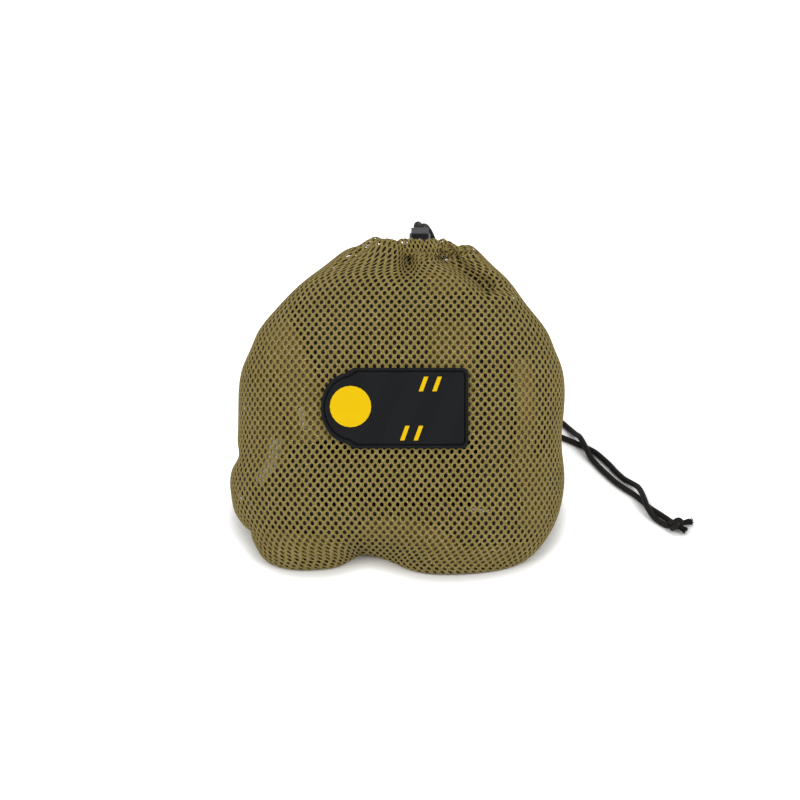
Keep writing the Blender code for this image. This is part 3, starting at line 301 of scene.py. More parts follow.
# %% Route and sweep both strands
LOCK = np.array([0.01701, 0.09572, 0.17074])
STRAND_SPACING = 0.0050
STRAND_STEP = 0.0015
TAIL_FLOOR = 0.0023
LOCK_FRONT = 0.0068
STRAIGHT_STEP = 0.014
ROUTE_A = [
    (0.0149, 0.1240, 0.1695), (0.0165, 0.1315, 0.1655), (0.0190, 0.1370, 0.1590),
    (0.0225, 0.1400, 0.1500), (0.0275, 0.1400, 0.1370), (0.0340, 0.1380, 0.1190),
    (0.0400, 0.1350, 0.0980), (0.0460, 0.1320, 0.0760), (0.0525, 0.1295, 0.0540),
    (0.0600, 0.1278, 0.0340), (0.0695, 0.1265, 0.0185), (0.0800, 0.1250, 0.0085),
    (0.0920, 0.1220, 0.0036), (0.1040, 0.1175), (0.1180, 0.1100), (0.1285, 0.1000),
    (0.1375, 0.0865), (0.1425, 0.0750, 0.0046), (0.1448, 0.0680, 0.0074),
    (0.1464, 0.0620, 0.0082), (0.1490, 0.0545, 0.0066), (0.1522, 0.0465, 0.0034),
    (0.1556, 0.0400), (0.1590, 0.0330), (0.1640, 0.0240), (0.1700, 0.0140), (0.1765, 0.0055),
    (0.1825, -0.0015), (0.1876, -0.0090), (0.1930, -0.0180), (0.1995, -0.0255), (0.2071, -0.0347)]
ROUTE_B = [
    (0.0201, 0.1225, 0.1692), (0.0225, 0.1280, 0.1650), (0.0255, 0.1312, 0.1580),
    (0.0290, 0.1318, 0.1480), (0.0335, 0.1300, 0.1340), (0.0385, 0.1265, 0.1160),
    (0.0435, 0.1228, 0.0950), (0.0490, 0.1195, 0.0730), (0.0550, 0.1170, 0.0510),
    (0.0620, 0.1145, 0.0310), (0.0710, 0.1115, 0.0160), (0.0820, 0.1065, 0.0070),
    (0.0960, 0.0985, 0.0030), (0.1100, 0.0885), (0.1240, 0.0790), (0.1360, 0.0705),
    (0.1470, 0.0620), (0.1562, 0.0540), (0.1622, 0.0449), (0.1672, 0.0360), (0.1712, 0.0275),
    (0.1762, 0.0190), (0.1820, 0.0105, 0.0040), (0.1856, 0.0020, 0.0070),
    (0.1876, -0.0060, 0.0080), (0.1891, -0.0150, 0.0080), (0.1914, -0.0240, 0.0056),
    (0.1960, -0.0317, 0.0026), (0.2026, -0.0391)]


def strand(name, side, rest, into):
    """One free strand, from the front of the lock to the inside of the knot."""
    start = LOCK + (side * STRAND_SPACING / 2, -LOCK_FRONT, 0.0)
    first = [start, start + (0.0, STRAIGHT_STEP, 0.0), start + (0.0, 2 * STRAIGHT_STEP, 0.0)]
    rest = [p if len(p) == 3 else (*p, TAIL_FLOOR) for p in rest + [into]]
    points = smooth_route(first + [np.array(p) for p in rest], STRAND_STEP)
    points[:, 2] = np.maximum(points[:, 2], TAIL_FLOOR)
    made = sweep(name, points, carried_sides(points, np.array([1.0, 0.0, 0.0])),
                 circle(CORD / 2, 14), BRAID, "bag")
    return made, points


def declare_strand(made, points):
    print(made.name, "length", round(length_of(points), 4))


strand_a, line_a = strand("drawcord_strand_a", -1, ROUTE_A, (0.2092, -0.0388, 0.0036))
strand_b, line_b = strand("drawcord_strand_b", 1, ROUTE_B, (0.2066, -0.0412, 0.0036))
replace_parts(strand_a, "drawcord_tail_a")
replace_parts(strand_b, "drawcord_tail_b")

# %% [markdown]
# The knot is an overhand knot tied in both strands at once, pulled tight into a small ball.
# A trefoil curve with a thick tube gives its lobes, and each cut end frays into fibres.

# %% Tie the knot
KNOT_LOOP = 0.00165
KNOT_WAY = unit(np.array([0.70, -0.71, 0.0]))
KNOT_AT = (line_a[-1] + line_b[-1]) / 2 + KNOT_WAY * 0.0030
KNOT_AT[2] = 0.0055


def knot_line():
    """A trefoil, squeezed to the knot's size."""
    t = np.linspace(0, 2 * math.pi, 97)[:-1]
    across = np.sin(t) + 2 * np.sin(2 * t)
    along = np.cos(t) - 2 * np.cos(2 * t)
    over = -np.sin(3 * t)
    up = np.array([0.0, 0.0, 1.0])
    side = np.cross(KNOT_WAY, up)
    return (KNOT_AT + 0.00150 * along[:, None] * KNOT_WAY + KNOT_LOOP * across[:, None] * side
            + KNOT_LOOP * over[:, None] * up)


trefoil = knot_line()
outs = np.cross(ways_along(trefoil, True), [0.3, 0.2, 0.9])
knot_piece = sweep("drawcord_knot", trefoil, outs, circle(CORD * 0.46, 14), BRAID, "bag",
                   closed=True)
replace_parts(knot_piece, "cord_knot")

# %% Fray the cut ends
FIBRES = 90
FIBRE_RADIUS = 0.00024
FRAYED_TO = [(0.2234, -0.0368, 0.0038), (0.2178, -0.0476, 0.0034)]


def frayed_ends(name):
    """Both cut ends beyond the knot: fibres in a bundle that opens towards its tips."""
    chance = random.Random(6)
    points = []
    faces = []
    for tip in FRAYED_TO:
        reach = np.array(tip) - KNOT_AT
        way = unit(reach)
        side = unit(np.cross(way, [0.0, 0.0, 1.0]))
        up = np.cross(side, way)
        for _ in range(FIBRES):
            turn = chance.uniform(0, 2 * math.pi)
            spread = math.sqrt(chance.random())
            length = chance.uniform(0.82, 1.06)
            faces += bands(6, 4, start=len(points), caps=True)
            for step in range(6):
                share = 0.25 + step / 5 * (length - 0.25)
                out = spread * (0.0021 + 0.0011 * max(share - 0.60, 0.0) / 0.40)
                centre = (KNOT_AT + reach * share + side * out * math.cos(turn + share)
                          + up * out * math.sin(turn + share) * 0.8)
                centre[2] = max(centre[2], 0.0004)
                for corner in range(4):
                    bend = corner * math.pi / 2
                    points.append(centre + FIBRE_RADIUS * (math.cos(bend) * side
                                                           + math.sin(bend) * up))
    return piece_of(name, points, faces, BRAID, "bag")


fray = frayed_ends("drawcord_frayed_ends")
declare_strand(strand_a, line_a)
declare_strand(strand_b, line_b)
print("knot at", KNOT_AT.round(4))

# %% [markdown]
# The bag is one skin: sections from its base up to the gathered neck, each a rounded
# oblong, blended with a smooth curve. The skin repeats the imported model's own form, so
# the cloth lies where its solid is. The folds press its front in.

# %% The bag's own form
AXIS_Y = -0.0344
FOOT_DROP = 0.0371
FRONT_FLAT = 0.0760
SECTIONS = np.array([
    (-0.056, 0.444, 0.000, 0.290, 0.580), (0.000, 0.667, 0.008, 0.700, 0.680),
    (0.052, 0.770, -0.010, 0.880, 0.750), (0.143, 0.913, 0.012, 1.000, 0.855),
    (0.266, 0.996, -0.001, 1.046, 0.975), (0.409, 0.975, 0.020, 1.060, 1.000),
    (0.595, 0.964, 0.027, 1.060, 0.820), (0.714, 0.889, 0.030, 1.020, 0.650),
    (0.817, 0.730, 0.035, 0.947, 0.480), (0.889, 0.603, 0.055, 0.868, 0.310),
    (0.940, 0.468, 0.075, 0.763, 0.137), (0.972, 0.333, 0.110, 0.658, 0.017),
    (0.976, 0.246, 0.135, 0.599, -0.050), (0.964, 0.226, 0.135, 0.579, -0.077),
]) * (0.248, 0.126, 0.126, 0.076, 0.0585)


def to_world(points):
    """Points of the leaning frame, in the row frame."""
    x, w, v = np.moveaxis(np.asarray(points, float), -1, 0)
    return np.stack([x, w * math.cos(LEAN) + v * math.sin(LEAN) + AXIS_Y,
                     v * math.cos(LEAN) - w * math.sin(LEAN)], axis=-1)


def section_at(place):
    """Height, half width, shift, front and back depth, from 0, the base, to 1, the rim."""
    along = np.clip(place, 0.0, 1.0) * (len(SECTIONS) - 1)
    index = np.minimum(along.astype(int), len(SECTIONS) - 2)
    t = (along - index)[:, None]
    a, b, c, d = (SECTIONS[np.clip(index + n, 0, len(SECTIONS) - 1)] for n in (-1, 0, 1, 2))
    mixed = 0.5 * (2 * b + (c - a) * t + (2 * a - 5 * b + 4 * c - d) * t ** 2
                   + (3 * b - a - 3 * c + d) * t ** 3)
    return [column[:, None] for column in mixed.T]


def near(distance, reach):
    return np.exp(-(distance / reach) ** 2)


def stroke(x, up, start, end, reach):
    """How near points of the front are to a line from start to end, from 0 to 1."""
    run = np.subtract(end, start)
    share = np.clip(((x - start[0]) * run[0] + (up - start[1]) * run[1]) / run.dot(run), 0, 1)
    return near(np.hypot(x - start[0] - share * run[0], up - start[1] - share * run[1]), reach)


def front_fold(x, height):
    """How far the folds press the front in: the arch, the shoulder's valley, the pleat."""
    fade = np.clip(1 - height / SECTIONS[0, 0], 0.0, 1.0)
    pressed = 0.022 * near(x + 0.017, 0.022) * near(np.maximum(height, 0.0), 0.026) * fade
    pressed += 0.009 * stroke(x, height, (0.034, 0.240), (0.066, 0.216), 0.007)
    return pressed + 0.007 * near(np.hypot(x - 0.009, height - 0.232), 0.009)


def bag_rings(place, angle):
    """Rings of the bag's outside in the leaning frame, one for each place up it."""
    height, half, shift, front, back = section_at(place)
    power = 2 / (2.8 - 0.8 * np.maximum(place[:, None] * 3 - 2, 0.0))
    cos, sin = np.cos(angle)[None], np.sin(angle)[None]
    x = shift + half * np.sign(cos) * np.abs(cos) ** power
    w = (back - front) / 2 + (back + front) / 2 * np.sign(sin) * np.abs(sin) ** power
    fade = np.clip((0.96 - place[:, None]) * 6, 0.0, 1.0)
    w = w + front_fold(x, height) * np.clip(-sin * 2, 0.0, 1.0) * fade
    over = -w - FRONT_FLAT
    w = np.where(sin < 0, -FRONT_FLAT - (over - np.hypot(over, 0.0015)) / 2, w)
    return np.stack([x, w, np.broadcast_to(height - FOOT_DROP, x.shape)], axis=-1)


print("rim half width", round(SECTIONS[-1, 1] * 1000, 1), "mm")

# %% [markdown]
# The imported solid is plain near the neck, but real cloth folds there. Its front rises in
# a hump at the left, a deep crease runs down beside it, and a lower hump stands at the
# right. They are pressed into the form as soft bumps before any thread is laid on it.

# %% Shape the cloth's own humps and creases
def bumps_up(x, place, facing):
    """How far the cloth rises above the plain form at its neck."""
    left = 0.0090 * near(x + 0.0130, 0.0150) * near(place - 0.870, 0.070)
    left_end = 0.0085 * near(x + 0.0420, 0.0160) * near(place - 0.865, 0.085)
    right = 0.0035 * near(x - 0.0270, 0.0080) * near(place - 0.880, 0.060)
    right_end = 0.0042 * near(x - 0.0560, 0.0200) * near(place - 0.850, 0.070)
    ends = (left_end + right_end) * np.clip(facing * 2 + 0.8, 0.0, 1.0)
    return (left + right) * np.clip(facing * 2, 0.0, 1.0) + ends


def cloth_rings(place, angle):
    """The plain form with the cloth's humps and creases."""
    rings = bag_rings(place, angle)
    facing = -np.sin(angle)[None]
    rings[..., 2] += bumps_up(rings[..., 0], place[:, None], facing)
    x, up = rings[..., 0], rings[..., 2]
    height = up + FOOT_DROP
    fade = np.clip(1 - height / SECTIONS[0, 0], 0.0, 1.0)
    beside = np.where(x < -0.0280, 0.0130, 0.0260)
    peak = np.exp(-np.abs(x + 0.0280) / beside)
    pressed = 0.0340 * peak * near(np.maximum(height, 0.0), 0.0220) * fade
    pressed += 0.0210 * peak * (1 - fade)
    pressed += 0.0050 * near(x + 0.0560, 0.0160) * near(np.maximum(height, 0.0), 0.0150) * fade
    pressed += 0.0110 * near(x - 0.0078, 0.0052) * near(up - 0.1965, 0.0130)
    pressed += 0.0060 * stroke(x, up, (0.0200, 0.2060), (0.0340, 0.1990), 0.0050)
    pressed += 0.0070 * stroke(x, up, (0.0340, 0.1990), (0.0652, 0.1760), 0.0050)
    pressed -= 0.0035 * stroke(x, up, (0.0450, 0.2120), (0.0800, 0.1850), 0.0090)
    rings[..., 1] += pressed * np.clip(facing * 2, 0.0, 1.0)
    return rings


# %% [markdown]
# Big-hole mesh is a warp-knitted polyester. Its holes stand 5.75 mm apart in rows 3.45 mm
# apart, each row shifted by half, so the threads between them make a net of hexagons.
# The bag was sewn as a wide tube: round the neck the same number of columns is drawn into
# folds, with round crests and sharp valleys. So the folds are pressed into the form first,
# and the columns are then laid along the folded line, at full width on the front.

# %% Fold the neck
HOLE_PITCH = 0.00575
ROW_PITCH = 0.00345
COLUMNS = 114
FINE = 4
GATHERS = 13
GATHER_DEPTH = 0.0052
ANGLES = 1.5 * math.pi + np.linspace(0.0, 2 * math.pi, 1441)


def crests(angle):
    """The neck's folds round it: 1 is a crest's height, and valleys are sharp."""
    wander = 1.1 * np.sin(2 * angle + 1.0) + 0.7 * np.sin(3 * angle + 2.2)
    taller = 1 + 0.35 * np.sin(5 * angle + 0.7)
    return (np.abs(np.cos(GATHERS * angle / 2 + wander)) - 0.62) * taller


def settle(points):
    """Flatten what would be below the ground, as the solid does."""
    points[..., 2] = np.maximum((points[..., 2] + np.hypot(points[..., 2], 0.004)) / 2 - 0.0005,
                                0.0)
    return points


def row_places():
    """Places up the bag at a fraction of a row apart, measured mostly on its front."""
    place = np.linspace(0.0, 1.0, 1201)
    marks = 1.5 * math.pi + np.array([0.0, 0.25, 0.5, 0.75]) * 2 * math.pi
    lines = settle(to_world(bag_rings(place, marks)))
    steps = np.linalg.norm(np.diff(lines, axis=0), axis=2) @ np.array([0.85, 0.05, 0.05, 0.05])
    along = np.concatenate([[0.0], np.cumsum(steps)])
    rows = int(along[-1] / ROW_PITCH)
    return np.interp(np.linspace(0.0, along[-1], rows * FINE + 1), along, place), rows


def outward(grid):
    """The unit direction out of closed rings at each of their points."""
    up = np.gradient(grid, axis=0)
    round_it = (np.roll(grid, -1, axis=1) - np.roll(grid, 1, axis=1)) / 2
    return unit(np.cross(round_it, up))


PLACES, ROWS = row_places()
BASE_ROWS = 9
print("rows", ROWS, "and", BASE_ROWS, "in the base")

# %% Close the base and fold the rings
def with_base(rings):
    """Rings that close the base flat on the ground, towards a seam line."""
    middle = rings[0].mean(axis=0)
    low = []
    for share in np.linspace(0.0, 1.0, BASE_ROWS * FINE, endpoint=False):
        ring = rings[0].copy()
        ring[:, 0] = middle[0] + (ring[:, 0] - middle[0]) * (0.55 + 0.45 * share)
        ring[:, 1] = middle[1] + (ring[:, 1] - middle[1]) * (0.02 + 0.98 * share)
        low.append(ring)
    return np.concatenate([np.array(low), rings])


def gathered(grid):
    """The same rings with the neck's folds standing out of them."""
    place = np.concatenate([np.zeros(BASE_ROWS * FINE), PLACES])[:, None]
    grow = np.clip((place - 0.68) / 0.24, 0.0, 1.0) ** 1.4 * (1 - 0.45 * np.clip(
        (place - 0.92) / 0.08, 0.0, 1.0))
    depth = GATHER_DEPTH * grow * crests(ANGLES[:-1])[None]
    return grid + outward(grid) * depth[..., None]


DENTS = [
    (3.00, 0.0522, 0.0070, 0.30, -0.0036), (3.00, 0.0095, 0.0100, 0.35, 0.0025),
    (3.05, -0.0052, 0.0030, 0.25, -0.0020), (3.14, -0.0226, 0.0100, 0.45, 0.0042),
    (3.00, 0.1320, 0.0120, 0.35, -0.0022), (2.00, 0.1320, 0.0120, 0.35, -0.0018),
    (2.00, 0.0635, 0.0220, 0.40, -0.0022), (1.87, -0.0203, 0.0120, 0.45, 0.0040)]


def dented(grid):
    """The same rings with small hollows and swellings: half turns, height, reaches, rise."""
    up = grid[..., 2] * math.cos(LEAN) + (grid[..., 1] - AXIS_Y) * math.sin(LEAN)
    rise = np.zeros(up.shape)
    for turn, height, up_reach, round_reach, most in DENTS:
        aside = ANGLES[:-1] - turn * math.pi
        rise += most * near(aside, round_reach)[None] * near(up - height, up_reach)
    moved = grid + outward(grid) * rise[..., None]
    moved[..., 2] = np.maximum(moved[..., 2], 0.0008)
    return moved


PLAIN = with_base(settle(to_world(bag_rings(PLACES, ANGLES[:-1]))))
CREASED = with_base(settle(to_world(cloth_rings(PLACES, ANGLES[:-1]))))
FOLDED = dented(gathered(CREASED))
print("rings", FOLDED.shape)

# %% Lay the columns
def column_steps(half_girth):
    """How far round from the front's middle each quarter column lies, in metres."""
    column = np.arange(COLUMNS // 2 * FINE + 1) / FINE
    to_back = np.clip((column - 18) / 14, 0.0, 1.0)
    to_back = to_back ** 2 * (3 - 2 * to_back)
    back = np.concatenate([[0.0], np.cumsum((to_back[1:] + to_back[:-1]) / 2)]) / FINE
    front = column - back
    fullness = half_girth / (COLUMNS / 2 * HOLE_PITCH)
    front_pitch = HOLE_PITCH * max(min(1.7 * fullness, 1.0), fullness)
    back_pitch = (half_girth - front_pitch * front[-1]) / back[-1]
    return front_pitch * front + back_pitch * back


def laid(grid):
    """Rings cut where their columns lie, with the direction out of each point."""
    rows = []
    for ring in np.concatenate([grid, grid[:, :1]], axis=1):
        along = along_of(ring)
        half = along[len(ring) // 2]
        right = column_steps(half)
        left = along[-1] - column_steps(along[-1] - half)[:0:-1]
        cuts = np.concatenate([right, left[1:]])
        rows.append(np.stack([np.interp(cuts, along, ring[:, i]) for i in range(3)], axis=1))
    rows = np.array(rows)
    return rows, outward(rows)


SKIN = laid(FOLDED)
CORE = laid(CREASED)
print("girth at the widest", round(float(np.linalg.norm(np.diff(
    PLAIN, axis=1), axis=2).sum(axis=1).max()), 3), "m, skin grid", SKIN[0].shape)

# %% [markdown]
# Each hole's thread ring is six faces between a hexagon and an eight-sided oval hole.
# The hole's edge is sunk a little, so smooth shading rounds the threads. A texture with
# see-through holes would be lighter, but it would lie flat, and the holes could not catch
# light on their edges.

# %% Knit the net
def on_cloth(cloth, row, column, lift=0.0):
    """Points on laid cloth at rows and columns, lifted off it."""
    rings, out = cloth
    turns = rings.shape[1]
    t = np.clip(np.asarray(row, float) * FINE, 0.0, len(rings) - 1.001)
    u = np.mod(np.asarray(column, float) * FINE, turns)
    i, j = t.astype(int), u.astype(int) % turns
    a, b = (t - i)[..., None], (u - np.floor(u))[..., None]
    mix = []
    for grid in (rings, out):
        low = grid[i, j] * (1 - b) + grid[i, (j + 1) % turns] * b
        high = grid[i + 1, j] * (1 - b) + grid[i + 1, (j + 1) % turns] * b
        mix.append(low * (1 - a) + high * a)
    return mix[0] + mix[1] * np.asarray(lift)


def thicken(made, thickness):
    """Give a piece's skin its thickness, inward."""
    thick = made.modifiers.new("thickness", "SOLIDIFY")
    thick.thickness = thickness
    thick.offset = -1.0
    return made


CORNER_UP = 0.85
HOLE = [(1.42, 0.0), (1.01, 1.28), (0.0, 1.80), (-1.01, 1.28),
        (-1.42, 0.0), (-1.01, -1.28), (0.0, -1.80), (1.01, -1.28)]
THREAD = 0.0007
THREAD_CROWN = 0.00006


def net(name, cloth, rows, columns, material):
    """Rows and columns of the net on laid cloth, with their shared corners merged."""
    points = []
    faces = []
    index = {}

    def corner(row, column, up):
        key = (row, column, up)
        if key not in index:
            index[key] = len(points)
            points.append((row + up * CORNER_UP, column + (row % 2) / 2, THREAD_CROWN))
        return index[key]

    for row in range(*rows):
        odd = row % 2
        for column in range(*columns):
            six = (corner(row - 1, column + odd, 1), corner(row + 1, column + odd, -1),
                   corner(row, column, 1), corner(row + 1, column + odd - 1, -1),
                   corner(row - 1, column + odd - 1, 1), corner(row, column, -1))
            o = [len(points) + n for n in range(8)]
            for across, up in HOLE:
                points.append((row + up / (ROW_PITCH * 1000), column + odd / 2
                               + across / (HOLE_PITCH * 1000), -THREAD_CROWN))
            faces += [(six[0], six[1], o[1], o[0], o[7]), (six[1], six[2], o[2], o[1]),
                      (six[2], six[3], o[3], o[2]), (six[3], six[4], o[5], o[4], o[3]),
                      (six[4], six[5], o[6], o[5]), (six[5], six[0], o[7], o[6])]
    row, column, lift = np.array(points).T
    made = piece_of(name, on_cloth(cloth, row, column, lift[:, None]), faces, material, "bag")
    return thicken(made, THREAD)


# %% [markdown]
# The thread is textured polyester, dyed olive brown. Up close it is a rough yarn with pale glints
# on its crowns and a darker ground. Two sizes of noise and a sheen do it; the glints are painted
# highlights.

# %% Warp-knitted polyester mesh, olive brown
def knitted_mesh(name, light, dark, painted_glint):
    """Spun-look yarn: matt, with painted highlights, pale specks where single filaments would
    catch the light.
    """
    material, tree = finish_of(name, 0.82, 1.54, sheen=0.03, specular=0.17)
    place = add(tree, "TexCoord").outputs["Object"]
    patch = add(tree, "TexNoise", {"Vector": place, "Scale": 45.0, "Detail": 3.0})
    yarn = add(tree, "TexNoise", {"Vector": place, "Scale": 1100.0, "Detail": 2.0})
    ground = add(tree, "Mix", {0: patch, 6: linear(dark), 7: linear(light)}, data_type="RGBA")
    # Painted highlight: fine noise mixes the pale glint colour into the yarn's ground colour.
    painted_glint_share = add(tree, "MapRange", {"Value": yarn, "From Min": 0.52, "From Max": 0.74})
    two_tones(tree, painted_glint_share, ground.outputs[2], painted_glint, yarn, 0.6, 0.0003)
    return material


MESH_CLOTH = knitted_mesh("warp_knitted_polyester_mesh", "#97844A", "#7B6B34", "#BDAC78")

# %% [markdown]
# The hem is the same cloth, turned in and sewn down to make a channel for the cord. It is
# open behind, where the cord comes out. Its folds carry on those of the neck, and its
# stitches are a dark thread, two or three millimetres each.

# %% Turn the hem
HEM_GAP = math.radians(38.0)
HEM_CHANNEL = [(-0.0008, -0.0016), (-0.0010, 0.0020), (-0.0008, 0.0060), (0.0004, 0.0094),
               (0.0032, 0.0106), (0.0062, 0.0096), (0.0073, 0.0062), (0.0073, 0.0026),
               (0.0068, 0.0008)]


def neck_point(angle, inward, up):
    """Points of the hem: inward from its outer face and up from the rim, leaning."""
    height, half, shift, front, back = SECTIONS[-1]
    outer = np.stack([half * np.cos(angle), (back + front) / 2 * np.sin(angle)], axis=-1)
    outer = outer - unit(outer) * (np.asarray(inward) + 0.0003)[..., None]
    return np.stack([shift + outer[..., 0], (back - front) / 2 + outer[..., 1],
                     height - FOOT_DROP + 0.0003 + up + 0 * angle], axis=-1)


def hem_cloth():
    """The hem as laid cloth: rows from outside over the top to the inside."""
    angle = np.linspace(math.pi / 2 + HEM_GAP, math.pi * 5 / 2 - HEM_GAP, 901)
    section = np.array([(q, h, 0.0) for q, h in HEM_CHANNEL])
    count = round(length_of(section) / ROW_PITCH)
    section = evenly(smooth_route(section, 0.0004), count * FINE)
    ripple = (0.45 * np.sin(23 * angle + 0.4) + 0.35 * np.sin(37 * angle + 1.3)
              + 0.20 * np.sin(61 * angle))
    rows = []
    for inward, up, _ in section:
        outer = np.clip(1 - inward / 0.0060, 0.0, 1.0)
        right = np.clip((neck_point(angle, inward, up)[:, 0] - 0.034) / 0.012, 0.0, 1.0)
        rise = up * (1 + 0.16 * crests(angle) + 0.11 * ripple) * (1 - 0.45 * right)
        rows.append(to_world(neck_point(angle, inward - 0.0026 * outer * crests(angle), rise)))
    around = length_of(rows[count])
    columns = round(around / 0.0034)
    rings = np.array([evenly(row, columns * FINE) for row in rows])
    out = outward(rings)
    out[:, 0], out[:, -1] = out[:, 1], out[:, -2]
    return (rings, out), count, columns


HEM, HEM_ROWS, HEM_COLUMNS = hem_cloth()
hem_net = net("mesh_hem", HEM, (0, HEM_ROWS), (1, HEM_COLUMNS - 1), MESH_CLOTH)
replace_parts(hem_net, "neck_hem")
print("hem", HEM_ROWS, "rows", HEM_COLUMNS, "columns")

# %% Sew the hem down
TWIST_PITCH = 0.0008
STITCH_RADIUS = 0.00028
def sewing_thread(name, light, dark):
    """Twisted polyester thread: a tight rope with fine grooves painted dark as shade."""
    material, tree = finish_of(name, 0.6, 1.52, sheen=0.1)
    far, about = places_on(tree)
    twist = add(tree, "Math", {0: far, 1: about}, operation="ADD")
    turn = add(tree, "Math", {0: twist, 1: 2 * math.pi / TWIST_PITCH}, operation="MULTIPLY")
    wave = add(tree, "Math", {0: turn}, operation="SINE")
    height = add(tree, "MapRange", {"Value": wave, "From Min": -1.0})
    # Painted shade: the twist's grooves are coloured darker than its crowns.
    two_tones(tree, height, dark, light, height, 0.5, 0.0001)
    return material


DARK_THREAD = sewing_thread("twisted_sewing_thread_dark", "#3B3320", "#1D180E")


def stitches(name, cloth, row, columns, material):
    """A line of single stitches along a row: short threads that dive in at both ends."""
    points = []
    faces = []
    places = []
    for start in np.arange(*columns, 1.0):
        lift = np.array([-0.0004, 0.00025, 0.0004, 0.0004, 0.00025, -0.0004])[:, None]
        line = on_cloth(cloth, np.full(6, row), start + np.linspace(0.08, 0.80, 6), lift)
        sides = carried_sides(line, np.array([0.1, 0.2, 1.0]))
        ups = np.cross(sides, ways_along(line))
        faces += bands(6, 6, start=len(points))
        for place, side, up in zip(line, sides, ups):
            points += [place + p * side + q * up for p, q in circle(STITCH_RADIUS, 6)]
        for i in range(5):
            for j in range(6):
                places += cell(i * 0.0005, i * 0.0005 + 0.0005, j * 0.0003, j * 0.0003 + 0.0003)
    made = piece_of(name, points, faces, material, "bag")
    keep_places(made, places)
    return made


hem_seam = stitches("hem_stitches", HEM, 0.9, (1.0, HEM_COLUMNS - 2.0), DARK_THREAD)
print("stitches", len(hem_seam.data.polygons) // 30)

# %% [markdown]
# The net is cut into four panels, at the sides and behind. The cloth narrows towards the
# neck and the base, so its area is less than width times height.

# %% Hang the cloth's four panels
CUT_COLUMNS = [-21, 21, 46, 68, 93]
nets = []
for name, first, last in zip(("mesh_front", "mesh_right", "mesh_back", "mesh_left"),
                             CUT_COLUMNS, CUT_COLUMNS[1:]):
    made = net(name, SKIN, (0, ROWS + BASE_ROWS), (first, last), MESH_CLOTH)
    nets.append(made)
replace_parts(nets[0], "bag_front")
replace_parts(nets[1], "bag_front", "bag_back")
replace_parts(nets[2], "bag_back", "bag_base")
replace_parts(nets[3], "bag_front", "bag_back")

# %% [markdown]
# The cord inside the hem shows only where the hem is open, behind. It is one sweep along
# the channel, from the lock round the neck and back to it.

# %% Thread the cord through the hem
CORD_GAP = math.radians(29.0)
LOCK_BACK = 0.0071


def in_channel(angle):
    """Points of the cord in the hem, which follows the hem's ruffles."""
    ruffle = 0.0005 * (np.cos(9 * angle) - 1)
    return to_world(neck_point(angle, 0.0039 - ruffle, 0.0046))


def cord_in_hem():
    angle = math.pi / 2 + np.linspace(CORD_GAP, 2 * math.pi - CORD_GAP, 45)
    back = in_channel(np.array([math.pi / 2]))[0]
    bends = []
    for side in (-1, 1):
        start = LOCK + (side * STRAND_SPACING / 2, -LOCK_BACK, 0.0)
        straight = start - (0.0, CORD, 0.0)
        bend = (back[0] + side * STRAND_SPACING * 0.95, (back[1] + straight[1]) / 2,
                (back[2] + start[2]) / 2)
        bends.append([start, straight, np.array(bend)])
    points = smooth_route(bends[0] + list(in_channel(angle)) + bends[1][::-1], STRAND_STEP)
    return sweep("drawcord_round_neck", points, carried_sides(points, np.array([1.0, 0, 0])),
                 circle(CORD / 2, 12), BRAID, "bag")


neck_cord = cord_in_hem()
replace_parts(neck_cord, "drawcord_in_hem")

# %% [markdown]
# Packed straps fill the bag: dark folds lie against the mesh all round, and olive ones
# come between them and the mesh in a few places. They are made as flat runs that follow
# the inside of the cloth. A cloth simulation of a packed strap would take minutes and
# would not lie where the photograph shows it, so the runs are laid along given routes.

# %% A strap run against the inside of the cloth
FRONT_HEIGHTS = PLAIN[:, 0, 2] * math.cos(LEAN) + (PLAIN[:, 0, 1] - AXIS_Y) * math.sin(LEAN)
TOP_PLAIN = 0.190
RUN_STEP = 0.004
RUN_CUTS = 6
RUN_THICK = 0.0017
OFF_GROUND = 0.0022


def row_at(height):
    """The row at which the front's middle has this height in the leaning frame."""
    from_row = BASE_ROWS * FINE
    low = np.interp(min(height, TOP_PLAIN), FRONT_HEIGHTS[from_row:],
                    np.arange(from_row, len(FRONT_HEIGHTS))) / FINE
    return low + max(height - TOP_PLAIN, 0.0) / ROW_PITCH


def runs(name, routes, material, seed):
    """Straps of one kind, each along a route of distances round and heights, as a piece."""
    chance = random.Random(seed)
    points = []
    faces = []
    places = []
    for route, lift, width in routes:
        across = np.linspace(-0.5, 0.5, RUN_CUTS + 1) * width
        flat = np.array([(round_it, row_at(height) * ROW_PITCH, 0.0)
                         for round_it, height in route])
        line = smooth_route(flat, RUN_STEP)[:, :2]
        ways = ways_along(line)
        sides = np.stack([-ways[:, 1], ways[:, 0]], axis=1)
        base = len(points)
        drift = chance.uniform(0, 6.28)
        for i, (place, side) in enumerate(zip(line, sides)):
            spots = place + across[:, None] * side
            bow = 0.0006 * np.cos(across / width * math.pi) + 0.0007 * math.sin(i / 5 + drift)
            points += list(on_cloth(CORE, spots[:, 1] / ROW_PITCH, spots[:, 0] / HOLE_PITCH,
                                    (bow - lift)[:, None]))
        for i in range(len(line) - 1):
            for j in range(RUN_CUTS):
                one = base + i * len(across) + j
                two = one + len(across)
                faces.append((one, two, two + 1, one + 1))
                a, b = i * RUN_STEP, i * RUN_STEP + RUN_STEP
                c, d = across[j], across[j + 1]
                places += [(a, c), (b, c), (b, d), (a, d)]
    points = np.array(points)
    points[:, 2] = np.maximum(points[:, 2], OFF_GROUND)
    made = piece_of(name, points, faces, material, "bag")
    keep_places(made, places)
    return thicken(made, RUN_THICK)


# %% [markdown]
# Strap webbing is woven nylon or polyester: a warp of flat cords along it, bound by a weft
# that shows as fine ribs across. The cords are 1.5 mm apart here and the ribs 1.1 mm.
# The pattern is drawn from places along and across; its hollows are painted darker as shade and
# its crowns lighter as highlight.

# %% Woven polyester webbing
RIB_PITCH = 0.0011
WARP_PITCH = 0.0015


